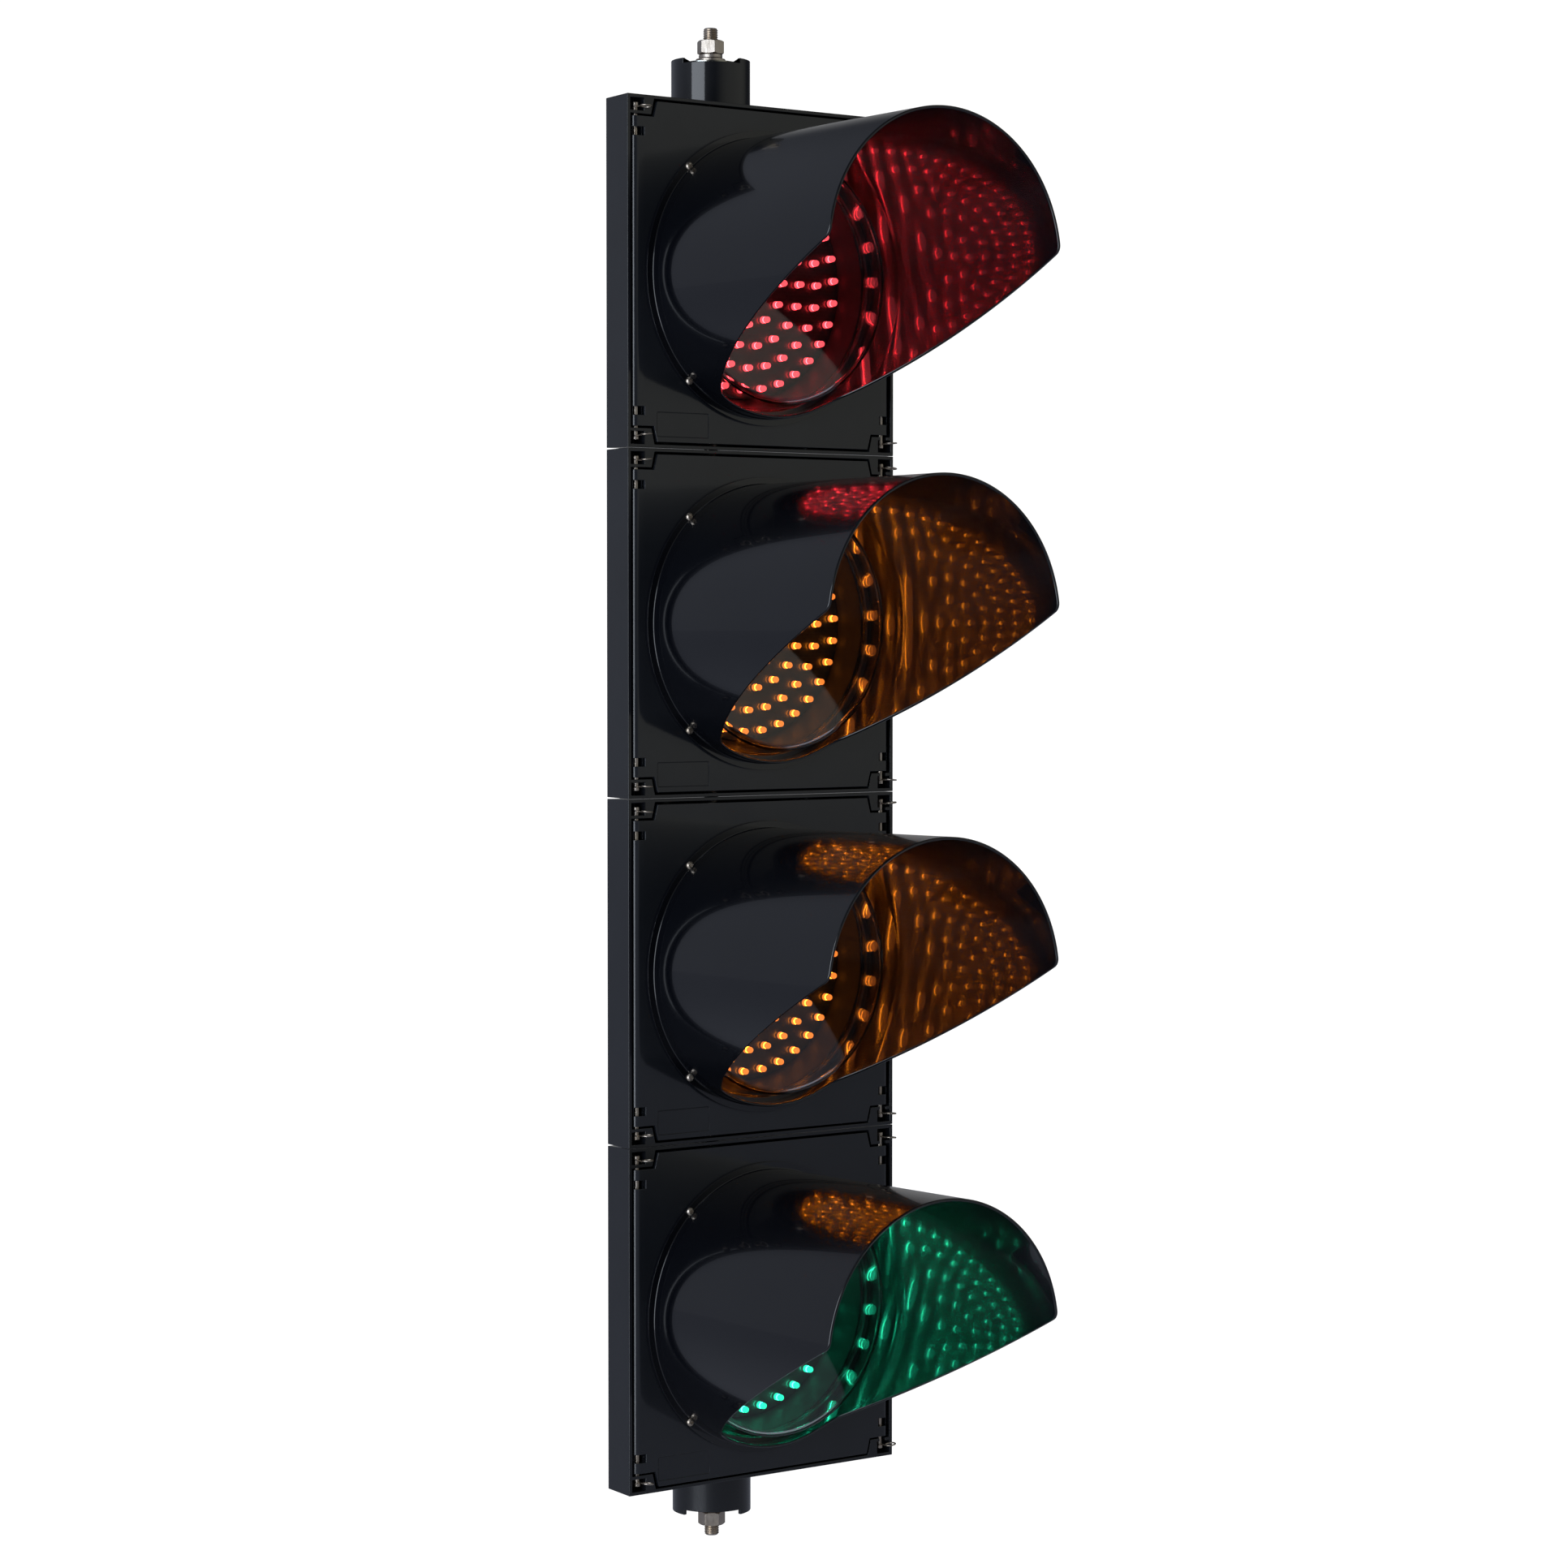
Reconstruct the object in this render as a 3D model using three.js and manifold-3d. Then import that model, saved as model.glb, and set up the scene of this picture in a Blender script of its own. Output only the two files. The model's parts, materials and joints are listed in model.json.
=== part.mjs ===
// Four-aspect 200 mm LED traffic signal head in black polycarbonate.
// Millimetres, +Z up, the lamps face -Y, X = Y = 0 on the axis of the tie rod that clamps the
// four housings together, Z = 0 on the lower end face of that rod.
import * as THREE from "three";
import { mergeVertices } from "three/addons/utils/BufferGeometryUtils.js";
import Module from "manifold-3d";

const wasm = await Module();
wasm.setup();

// ---- Driving dimensions ------------------------------------------------------------------
const GAP = 0.3; // clearance left between neighbouring pieces
const PAST = 1; // how far a cutting tool runs past the face it cuts
// Facets of a circle: small hole, rod, ring and bead, washer and disc, lamp, visor.
const FACETS = { hole: 6, rod: 8, bead: 12, washer: 18, disc: 24, lamp: 32, visor: 36 };
const SECTIONS = 4;
const PITCH = 270; // height that one housing adds to the stack
const WIDTH = 260; // housing, over its side walls
const AXIS_DEPTH = 72; // door face to tie rod axis
const RIM_SET_BACK = 1; // housing rim behind the door face
const RIM_DEPTH = 33; // full-width part of the housing, from the door face
const BODY_DEPTH = 108; // whole housing, from the door face
const BODY_HALF_WIDTH = 104; // rounded rear part of the housing
const WALL = 2.75;
const MOULD_DRAFT = 2; // the rim part narrows by this on each side towards the back
const BODY_STEP = 1; // the rounded rear part is shorter than the rim by this at each end

const ROD_DIAMETER = 4; // hinge and latch rods
const ROD_X = 120; // rod axes, left and right of the centre
const BEAD_RADIUS = 5.5; // rolled door edge that carries the rod
const ROD_END = 6; // rod end below the end of its housing
const BEAD_END = 16.5; // door edge ends this far from the end of the housing
const BORE_RADIUS = ROD_DIAMETER / 2 + 0.7; // to the corners of a six-sided bore
const REAR_STEPS = 10; // facets of the rounded back

const TAB_OUTER = 25.4; // corner tab, width at the end of the housing
const TAB_INNER = 22.2; // corner tab, width at the door side
const TAB_HEIGHT = 15;
const TAB_DEPTH = 17;
const POCKET_WIDTH = 15.5; // from the side of the housing
const POCKET_END = 12.4; // lower end of the pocket, from the end of the housing
const POCKET_DEPTH = 15;
const DOOR_GAP = 1.75; // shadow gap between the door and the housing

const DOOR_THICKNESS = 3;
const DOOR_SKIRT = 10;
const DOOR_SKIRT_HALF_WIDTH = 84;
const WINDOW = { inner: 5.2, outer: 4.4, near: 24.9, far: 31.4, depth: 8.5 };

const FLANGE_RADIUS = 115;
const FLANGE_FACE = 4.6; // front of the visor flange, ahead of the door face
const VISOR_LENGTH = 226; // front of the visor, ahead of the door face
const VISOR_BASE_RADIUS = 109.5;
const VISOR_FRONT_RADIUS = 111.5;
const VISOR_WALL = 2.4;
const VISOR_TIP_HEIGHT = 11; // height above the lamp axis where the slanted cut starts
const VISOR_CUT_SLOPE = 0.515; // fall of the slanted cut for each unit towards the door
const COLLAR = 16; // the visor is a full ring up to here
const VISOR_FILLET = { ahead: 5, out: 1.2 }; // where the tube meets its flange
const FLANGE_CHAMFER = 1;
const FLANGE_SCREW = { x: 75.6, z: 82.6, clearance: 2.2, pilot: 1.6, reach: 3 };

const LENS = { face: 28, radius: 99, shoulder: 5, base: 103, flange: 109.5, wall: 2.5 };
const DOOR_OPENING = 103.6;
const UNIT_SEAT = 6.4; // depth of the joint between lens flange and lamp shell
const BOARD = { depth: 26.7, radius: 92, thickness: 1.6, bore: 2, boreInset: 5, ledge: 4 };
const SHELL = { flange: 109.5, depth: 56, backRadius: 60, wall: 2.5 };

const M12 = { radius: 6, hole: 6.7, across: 19, nut: 10.8, sides: 14 };
const SPIGOT_RADIUS = 31.5;
const SPIGOT_FLARE = 2.5;
const SPIGOT_FLARE_HEIGHT = 8;
const SPIGOT_BORE = 18;
const SPIGOT_RECESS = 23;
const LUG_HEIGHT = 3.5; // claw teeth on the spigot rim
const LUG_NOTCH = 92; // degrees, width of each of the two notches
const NOTCH_BEARING = -34; // degrees, middle of the front notch, from straight ahead
const TOP_END = { side: 1, spigot: 44, nutAt: 49.6, nutTurn: 12, rodOut: 69 };
const BOTTOM_END = { side: -1, spigot: 40.5, nutAt: 41.8, nutTurn: 34, rodOut: 60 };
const DISC = { radius: 21.8, thickness: 2 };
const FLAT_WASHER = { radius: 12, thickness: 3 };
const SPRING_WASHER = { radius: 9.6, thickness: 3.3, slit: 1.2 };

const CLIP = { wire: 1.5, ring: 5, offset: 3.6, ahead: 9.8, tail: 4.6, play: 0.35 };
const CLIP_END = 9.5; // clip height below the end of the housing
const CLIP_TILT = [
  { leftTop: 4, leftBottom: -6, rightTop: 5, rightBottom: -3 },
  { leftTop: -5, leftBottom: 3, rightTop: 8, rightBottom: 4 },
  { leftTop: 6, leftBottom: -4, rightTop: -7, rightBottom: 2 },
  { leftTop: -3, leftBottom: 5, rightTop: 4, rightBottom: -8 },
];

const TERMINAL = { x0: -52, x1: -14, depth0: 74, depth1: 88, height: 18, ways: 5 };
const WIRE_ENTRY = { halfWidth: 2.4, depth: 5, low: 4, high: 11 };
const TERMINAL_SCREW = { radius: 1.9, depth: 4, back: 2 };

// ---- Derived places ----------------------------------------------------------------------
const HALF_WIDTH = WIDTH / 2;
const HALF_HEIGHT = (PITCH - GAP) / 2;
const ROD_DEPTH = BEAD_RADIUS;
const STACK_BOTTOM = BOTTOM_END.rodOut;
const STACK_TOP = STACK_BOTTOM + SECTIONS * PITCH;
const DOOR_HALF_HEIGHT = HALF_HEIGHT - WALL - DOOR_GAP;
const sectionHeight = (row) => STACK_TOP - (row + 0.5) * PITCH;
const atDepth = (depth) => depth - AXIS_DEPTH;

// ---- Finishes ----------------------------------------------------------------------------
const finish = (color, roughness, metalness) =>
  new THREE.MeshStandardMaterial({ color, roughness, metalness });
const blackShell = finish(0x17191d, 0.35, 0);
const blackDoor = finish(0x1d1f1f, 0.4, 0);
const glossVisor = finish(0x101216, 0.15, 0);
const smokedLens = finish(0x3a3634, 0.05, 0);
const boardGreen = finish(0x14181a, 0.5, 0);
const darkPlastic = finish(0x1b1c1e, 0.6, 0);
const stainless = finish(0xb9b2a4, 0.3, 1);
const zinc = finish(0xa9aba8, 0.35, 1);
const terminalGrey = finish(0x8f9290, 0.6, 0);

// ---- Solids ------------------------------------------------------------------------------
// A closed geometry as a manifold solid: shared corners merged, collapsed faces dropped.
function solid(geometry) {
  geometry.deleteAttribute("normal");
  geometry.deleteAttribute("uv");
  const merged = mergeVertices(geometry, 1e-5);
  const triVerts = [];
  for (let i = 0; i < merged.index.count; i += 3) {
    const [a, b, c] = [0, 1, 2].map((k) => merged.index.getX(i + k));
    if (a !== b && b !== c && c !== a) triVerts.push(a, b, c);
  }
  return new wasm.Manifold(new wasm.Mesh({
    numProp: 3,
    vertProperties: new Float32Array(merged.attributes.position.array),
    triVerts: new Uint32Array(triVerts),
  }));
}

function toGeometry(shape) {
  const { vertProperties, triVerts } = shape.getMesh();
  const geometry = new THREE.BufferGeometry();
  geometry.setAttribute("position", new THREE.BufferAttribute(vertProperties, 3));
  geometry.setIndex(new THREE.BufferAttribute(triVerts, 1));
  const flat = geometry.toNonIndexed();
  flat.computeVertexNormals();
  return flat;
}

function box(x0, x1, y0, y1, z0, z1) {
  const geometry = new THREE.BoxGeometry(x1 - x0, y1 - y0, z1 - z0);
  geometry.translate((x0 + x1) / 2, (y0 + y1) / 2, (z0 + z1) / 2);
  return solid(geometry);
}

// Cylinder along Z.
function post(radius, x, y, z0, z1, sides) {
  const geometry = new THREE.CylinderGeometry(radius, radius, z1 - z0, sides);
  geometry.rotateX(Math.PI / 2);
  geometry.translate(x, y, (z0 + z1) / 2);
  return solid(geometry);
}

// Cylinder along Y.
function peg(radius, x, z, y0, y1, sides) {
  const geometry = new THREE.CylinderGeometry(radius, radius, y1 - y0, sides);
  geometry.translate(x, (y0 + y1) / 2, z);
  return solid(geometry);
}

// An outline of [x, y] points raised along Z.
function prismAlongZ(points, z0, z1) {
  const outline = new THREE.Shape(points.map(([x, y]) => new THREE.Vector2(x, y)));
  const geometry = new THREE.ExtrudeGeometry(outline, { depth: z1 - z0, bevelEnabled: false });
  geometry.translate(0, 0, z0);
  return solid(geometry);
}

// An outline of [x, z] points raised along Y.
function prismAlongY(points, y0, y1) {
  const outline = new THREE.Shape(points.map(([x, z]) => new THREE.Vector2(x, z)));
  const geometry = new THREE.ExtrudeGeometry(outline, { depth: y1 - y0, bevelEnabled: false });
  geometry.rotateX(Math.PI / 2);
  geometry.translate(0, y1, 0);
  return solid(geometry);
}

// A closed profile of [radius, depth] points turned about the lamp axis.
function turned(profile, segments) {
  const points = profile.map(([r, depth]) => new THREE.Vector2(r, atDepth(depth)));
  points.push(points[0].clone());
  return solid(new THREE.LatheGeometry(points, segments));
}

// A block whose front and back are centred rectangles of different sizes.
function taperedBlock(front, back) {
  const corners = [];
  for (const { halfWidth, halfHeight, depth } of [front, back]) {
    const y = atDepth(depth);
    corners.push([-halfWidth, y, -halfHeight], [halfWidth, y, -halfHeight]);
    corners.push([halfWidth, y, halfHeight], [-halfWidth, y, halfHeight]);
  }
  const faces = [
    [0, 1, 2, 3], [5, 4, 7, 6], [1, 5, 6, 2], [4, 0, 3, 7], [3, 2, 6, 7], [4, 5, 1, 0],
  ];
  const index = faces.flatMap(([a, b, c, d]) => [a, b, c, a, c, d]);
  const geometry = new THREE.BufferGeometry();
  geometry.setAttribute("position", new THREE.Float32BufferAttribute(corners.flat(), 3));
  geometry.setIndex(index);
  return solid(geometry);
}

const mirrored = (shape, mx, mz) => shape.scale([mx, 1, mz]);

function addMesh(group, name, shape, material) {
  const mesh = new THREE.Mesh(toGeometry(shape), material);
  mesh.name = name;
  group.add(mesh);
  return mesh;
}

// ---- Housing -----------------------------------------------------------------------------
// Half ellipse that closes the back of the housing, reaching forward into the rim part.
function rearOutline(inset, frontDepth) {
  const halfWidth = BODY_HALF_WIDTH - inset;
  const reach = BODY_DEPTH - RIM_DEPTH - inset;
  const points = [];
  for (let i = 0; i <= REAR_STEPS; i += 1) {
    const angle = (Math.PI * i) / REAR_STEPS;
    points.push([halfWidth * Math.cos(angle), atDepth(RIM_DEPTH) + reach * Math.sin(angle)]);
  }
  points.push([-halfWidth, atDepth(frontDepth)], [halfWidth, atDepth(frontDepth)]);
  return points;
}

function housingShell() {
  const rim = taperedBlock(
    { halfWidth: HALF_WIDTH, halfHeight: HALF_HEIGHT, depth: RIM_SET_BACK },
    { halfWidth: HALF_WIDTH - MOULD_DRAFT, halfHeight: HALF_HEIGHT - BODY_STEP, depth: RIM_DEPTH },
  );
  const rimInside = taperedBlock(
    { halfWidth: HALF_WIDTH - WALL, halfHeight: HALF_HEIGHT - WALL, depth: RIM_SET_BACK - PAST },
    {
      halfWidth: HALF_WIDTH - WALL - MOULD_DRAFT,
      halfHeight: HALF_HEIGHT - WALL - BODY_STEP,
      depth: RIM_DEPTH - WALL,
    },
  );
  const bodyHeight = HALF_HEIGHT - BODY_STEP;
  const body = prismAlongZ(rearOutline(0, RIM_DEPTH - WALL), -bodyHeight, bodyHeight);
  const insideHeight = bodyHeight - WALL;
  const insideOutline = rearOutline(WALL, RIM_DEPTH - WALL - PAST);
  const bodyInside = prismAlongZ(insideOutline, -insideHeight, insideHeight);
  return rim.add(body).subtract(rimInside).subtract(bodyInside);
}

// Top left corner tab: a wedge block with the pocket that the rod end and its clip stand in.
function cornerTab() {
  const end = HALF_HEIGHT - WALL / 2;
  const side = -HALF_WIDTH + WALL / 2;
  const door = HALF_HEIGHT - TAB_HEIGHT;
  const block = prismAlongY([
    [side, end], [side, door], [-HALF_WIDTH + TAB_INNER, door], [-HALF_WIDTH + TAB_OUTER, end],
  ], atDepth(RIM_SET_BACK), atDepth(TAB_DEPTH));
  const pocket = box(
    -HALF_WIDTH + WALL, -HALF_WIDTH + POCKET_WIDTH,
    atDepth(0), atDepth(POCKET_DEPTH), HALF_HEIGHT - POCKET_END, HALF_HEIGHT - WALL,
  );
  return { block, pocket };
}

// The hinge side shelf holds the rod in a hole; the latch side shelf has a slot open to the front.
function shelfHole(isHinge) {
  const z0 = HALF_HEIGHT - TAB_HEIGHT - PAST;
  const z1 = HALF_HEIGHT - POCKET_END + PAST;
  const hole = post(BORE_RADIUS, -ROD_X, atDepth(ROD_DEPTH), z0, z1, FACETS.hole);
  if (isHinge) return hole;
  const half = BORE_RADIUS + GAP;
  return hole.add(box(-ROD_X - half, -ROD_X + half, atDepth(0), atDepth(ROD_DEPTH + half), z0, z1));
}

function rodHoleThroughEnds() {
  return post(M12.hole, 0, 0, -HALF_HEIGHT - PAST, HALF_HEIGHT + PAST, M12.sides);
}

function housing() {
  const { block, pocket } = cornerTab();
  let shape = housingShell();
  for (const mz of [1, -1]) {
    for (const mx of [1, -1]) {
      shape = shape.add(mirrored(block, mx, mz));
    }
  }
  for (const mz of [1, -1]) {
    for (const mx of [1, -1]) {
      shape = shape.subtract(mirrored(pocket.add(shelfHole(mx === 1)), mx, mz));
    }
  }
  return shape.subtract(rodHoleThroughEnds());
}

// Hollow claw-toothed spigot, pointing up from z = 0.
function spigot(end) {
  const height = end.spigot;
  const footRadius = SPIGOT_RADIUS + SPIGOT_FLARE;
  const outline = [
    [0, -WALL], [footRadius, -WALL], [footRadius, 0],
    [SPIGOT_RADIUS + SPIGOT_FLARE * 0.3, SPIGOT_FLARE_HEIGHT * 0.4],
    [SPIGOT_RADIUS, SPIGOT_FLARE_HEIGHT], [SPIGOT_RADIUS, height], [0, height],
  ];
  const points = outline.map(([r, z]) => new THREE.Vector2(r, z));
  const lathe = new THREE.LatheGeometry(points, FACETS.lamp);
  lathe.rotateX(Math.PI / 2);
  const stack = SPRING_WASHER.thickness + FLAT_WASHER.thickness + DISC.thickness;
  const seat = end.nutAt - stack - 4 * GAP;
  const recess = post(SPIGOT_RECESS, 0, 0, seat, height + PAST, FACETS.lamp);
  const bore = post(SPIGOT_BORE, 0, 0, -WALL - PAST, seat + PAST, FACETS.disc);
  return solid(lathe).subtract(recess).subtract(bore).subtract(notches(height));
}

function notches(height) {
  const reach = SPIGOT_RADIUS * 2;
  const half = THREE.MathUtils.degToRad(LUG_NOTCH / 2);
  const wedge = (bearing) => {
    const middle = THREE.MathUtils.degToRad(bearing - 90);
    const arm = (angle) => [reach * Math.cos(angle), reach * Math.sin(angle)];
    const points = [[0, 0], arm(middle - half), arm(middle), arm(middle + half)];
    return prismAlongZ(points, height - LUG_HEIGHT, height + PAST);
  };
  return wedge(NOTCH_BEARING).add(wedge(NOTCH_BEARING + 180));
}

// Turns a shape modelled for the top end into its mirror image for the bottom end.
function toEnd(shape, end, z) {
  return end.side > 0 ? shape.translate([0, 0, z]) : shape.scale([1, 1, -1]).translate([0, 0, z]);
}

function housingWithSpigot(end) {
  const face = HALF_HEIGHT - BODY_STEP;
  const bore = post(SPIGOT_BORE, 0, 0, face - WALL - PAST, face + PAST, FACETS.disc);
  const shape = housing().add(toEnd(spigot(end), end, end.side * face));
  return shape.subtract(end.side > 0 ? bore : bore.scale([1, 1, -1]));
}

// ---- Door --------------------------------------------------------------------------------
function doorOutline() {
  const top = DOOR_HALF_HEIGHT;
  const notchZ = HALF_HEIGHT - BEAD_END;
  const outer = HALF_WIDTH - TAB_OUTER - DOOR_GAP;
  const inner = HALF_WIDTH - TAB_INNER - DOOR_GAP;
  const quarter = [[ROD_X, notchZ], [inner, notchZ], [outer, top]];
  const flip = (points, mx, mz) => points.map(([x, z]) => [mx * x, mz * z]);
  return [
    ...flip(quarter, 1, 1), ...flip(quarter, -1, 1).reverse(),
    ...flip(quarter, -1, -1), ...flip(quarter, 1, -1).reverse(),
  ];
}

function doorBead(side) {
  const z = HALF_HEIGHT - BEAD_END;
  return post(BEAD_RADIUS, side * ROD_X, atDepth(ROD_DEPTH), -z, z, FACETS.bead);
}

// Windows over the rods, rod bores and screw holes of the door.
function doorCuts() {
  const rodBore = post(
    BORE_RADIUS, -ROD_X, atDepth(ROD_DEPTH), -HALF_HEIGHT, HALF_HEIGHT, FACETS.hole,
  );
  const opening = box(
    -ROD_X - WINDOW.outer, -ROD_X + WINDOW.inner, atDepth(-PAST), atDepth(WINDOW.depth),
    HALF_HEIGHT - WINDOW.far, HALF_HEIGHT - WINDOW.near,
  );
  const pilot = peg(
    FLANGE_SCREW.pilot, -FLANGE_SCREW.x, FLANGE_SCREW.z,
    atDepth(-PAST), atDepth(DOOR_THICKNESS + PAST), FACETS.hole,
  );
  const cuts = [];
  for (const mx of [1, -1]) {
    cuts.push(mirrored(rodBore, mx, 1));
    for (const mz of [1, -1]) cuts.push(mirrored(opening, mx, mz), mirrored(pilot, mx, mz));
  }
  return cuts;
}

function door() {
  const panel = prismAlongY(doorOutline(), atDepth(0), atDepth(DOOR_THICKNESS));
  const skirt = box(
    -DOOR_SKIRT_HALF_WIDTH, DOOR_SKIRT_HALF_WIDTH, atDepth(0), atDepth(DOOR_SKIRT),
    DOOR_HALF_HEIGHT - WALL, DOOR_HALF_HEIGHT,
  );
  const opening = peg(DOOR_OPENING, 0, 0, atDepth(-PAST), atDepth(DOOR_SKIRT), FACETS.lamp);
  const skirts = skirt.add(mirrored(skirt, 1, -1));
  const whole = panel.add(doorBead(-1)).add(doorBead(1)).add(skirts).subtract(opening);
  return doorCuts().reduce((rest, cut) => rest.subtract(cut), whole);
}

// ---- Visor -------------------------------------------------------------------------------
// Everything below the slanted edge of the visor, as one block across its whole width.
function belowVisorEdge() {
  const reach = FLANGE_RADIUS + PAST;
  const front = -VISOR_LENGTH - PAST;
  const low = VISOR_TIP_HEIGHT - VISOR_CUT_SLOPE * (VISOR_LENGTH - COLLAR);
  const side = [
    [front, -reach], [-COLLAR, -reach], [-COLLAR, low],
    [-VISOR_LENGTH, VISOR_TIP_HEIGHT], [front, VISOR_TIP_HEIGHT],
  ];
  const outline = new THREE.Shape(side.map(([depth, z]) => new THREE.Vector2(atDepth(depth), z)));
  const geometry = new THREE.ExtrudeGeometry(outline, { depth: 2 * reach, bevelEnabled: false });
  const acrossX = new THREE.Matrix4().set(
    0, 0, 1, -reach,
    1, 0, 0, 0,
    0, 1, 0, 0,
    0, 0, 0, 1,
  );
  return solid(geometry.applyMatrix4(acrossX));
}

function visor() {
  const rim = FLANGE_RADIUS - FLANGE_CHAMFER;
  const tube = turned([
    [VISOR_BASE_RADIUS - VISOR_WALL, -GAP], [VISOR_FRONT_RADIUS - VISOR_WALL, -VISOR_LENGTH],
    [VISOR_FRONT_RADIUS, -VISOR_LENGTH], [VISOR_BASE_RADIUS, -FLANGE_FACE - VISOR_FILLET.ahead],
    [VISOR_BASE_RADIUS + VISOR_FILLET.out, -FLANGE_FACE - VISOR_FILLET.out], [rim, -FLANGE_FACE],
    [FLANGE_RADIUS, -FLANGE_FACE + FLANGE_CHAMFER], [FLANGE_RADIUS, -GAP],
  ], FACETS.visor);
  const hole = peg(
    FLANGE_SCREW.clearance, FLANGE_SCREW.x, FLANGE_SCREW.z,
    atDepth(-FLANGE_FACE - FLANGE_SCREW.reach), atDepth(PAST), FACETS.hole,
  );
  let shape = tube.subtract(belowVisorEdge());
  for (const mx of [-1, 1]) {
    for (const mz of [-1, 1]) shape = shape.subtract(mirrored(hole, mx, mz));
  }
  return shape;
}

// ---- Lamp unit ---------------------------------------------------------------------------
function lens() {
  const back = DOOR_THICKNESS + GAP;
  const { face, radius, shoulder, base, flange, wall } = LENS;
  return turned([
    [0, -face + wall], [0, -face], [radius - shoulder, -face],
    [radius - shoulder * 0.3, -face + shoulder * 0.3], [radius, -face + shoulder],
    [base, back], [flange, back], [flange, UNIT_SEAT - GAP / 2], [base - wall, UNIT_SEAT - GAP / 2],
    [radius - wall, -face + shoulder], [radius - wall - 1, -face + wall],
  ], FACETS.lamp);
}

function ledBoard() {
  const front = atDepth(BOARD.depth);
  const back = front + BOARD.thickness;
  const hole = peg(BOARD.bore, BOARD.radius - BOARD.boreInset, 0, front - PAST, back + PAST, FACETS.hole);
  return peg(BOARD.radius, 0, 0, front, back, FACETS.disc)
    .subtract(hole)
    .subtract(mirrored(hole, -1, 1));
}

// Rear cup of the lamp unit with a ledge that carries the board.
function lampShell() {
  const seat = UNIT_SEAT + GAP / 2;
  const ledge = BOARD.depth + BOARD.thickness + GAP;
  const { flange, depth, backRadius, wall } = SHELL;
  const mouth = LENS.base - wall;
  return turned([
    [0, depth], [0, depth - wall], [backRadius - wall, depth - wall],
    [BOARD.radius - BOARD.ledge, ledge], [BOARD.radius + GAP, ledge], [mouth, seat],
    [flange, seat], [flange, DOOR_SKIRT], [mouth + wall, DOOR_SKIRT],
    [BOARD.radius + wall + 1, ledge + wall], [backRadius, depth],
  ], FACETS.disc);
}

// ---- Rods and clips ----------------------------------------------------------------------
// Rod with a cross hole near each end for its ring clip.
function edgeRod(side) {
  const end = HALF_HEIGHT - ROD_END;
  const y = atDepth(ROD_DEPTH);
  const rod = post(ROD_DIAMETER / 2, side * ROD_X, y, -end, end, FACETS.rod);
  const hole = peg(
    CLIP.wire / 2 + CLIP.play, side * ROD_X, HALF_HEIGHT - CLIP_END,
    y - ROD_DIAMETER, y + ROD_DIAMETER, FACETS.hole,
  );
  return rod.subtract(hole).subtract(mirrored(hole, 1, -1));
}

// Ring clip about its own shank: the shank runs along Y through the rod at the origin.
function ringClip() {
  const half = CLIP.wire / 2;
  const shank = peg(half, 0, 0, CLIP.wire - CLIP.ahead, CLIP.tail, FACETS.hole);
  const ring = post(CLIP.ring, CLIP.offset, -CLIP.ahead, -half, half, FACETS.bead);
  const eyeRadius = CLIP.ring - CLIP.wire;
  const eye = post(eyeRadius, CLIP.offset, -CLIP.ahead, -half - PAST, half + PAST, FACETS.rod);
  return shank.add(ring).subtract(eye);
}

function addClip(group, name, side, end, tilt) {
  const mesh = addMesh(group, name, ringClip(), stainless);
  mesh.position.set(side * ROD_X, atDepth(ROD_DEPTH), end * (HALF_HEIGHT - CLIP_END));
  mesh.rotation.y = THREE.MathUtils.degToRad(tilt);
}

// ---- End hardware ------------------------------------------------------------------------
function washer(radius, thickness, sides) {
  const hole = post(M12.radius + GAP, 0, 0, -PAST, thickness + PAST, M12.sides);
  return post(radius, 0, 0, 0, thickness, sides).subtract(hole);
}

const hexNut = () => washer(M12.across / Math.sqrt(3), M12.nut, 6);

function springWasher() {
  const { radius, thickness, slit } = SPRING_WASHER;
  const cut = box(0, radius + PAST, -slit / 2, slit / 2, -PAST, thickness + PAST);
  return washer(radius, thickness, FACETS.washer).subtract(cut);
}

// Nut, spring washer, flat washer and disc, from the outside inwards.
function addEndHardware(group, end, label) {
  const stackEnd = end.side > 0 ? STACK_TOP : STACK_BOTTOM;
  const face = stackEnd - end.side * (GAP / 2 + BODY_STEP);
  let height = end.nutAt;
  const place = (name, shape, material) => {
    addMesh(group, `${name}_${label}`, toEnd(shape, end, face + end.side * height), material);
  };
  place("clamp_nut", hexNut().rotate([0, 0, end.nutTurn]), stainless);
  height -= SPRING_WASHER.thickness + GAP;
  place("spring_washer", springWasher(), stainless);
  height -= FLAT_WASHER.thickness + GAP;
  place("flat_washer", washer(FLAT_WASHER.radius, FLAT_WASHER.thickness, FACETS.washer), stainless);
  height -= DISC.thickness + GAP;
  place("spigot_disc", washer(DISC.radius, DISC.thickness, FACETS.disc), zinc);
}

function tieRod() {
  return post(M12.radius, 0, 0, 0, STACK_TOP + TOP_END.rodOut, M12.sides);
}

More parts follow.
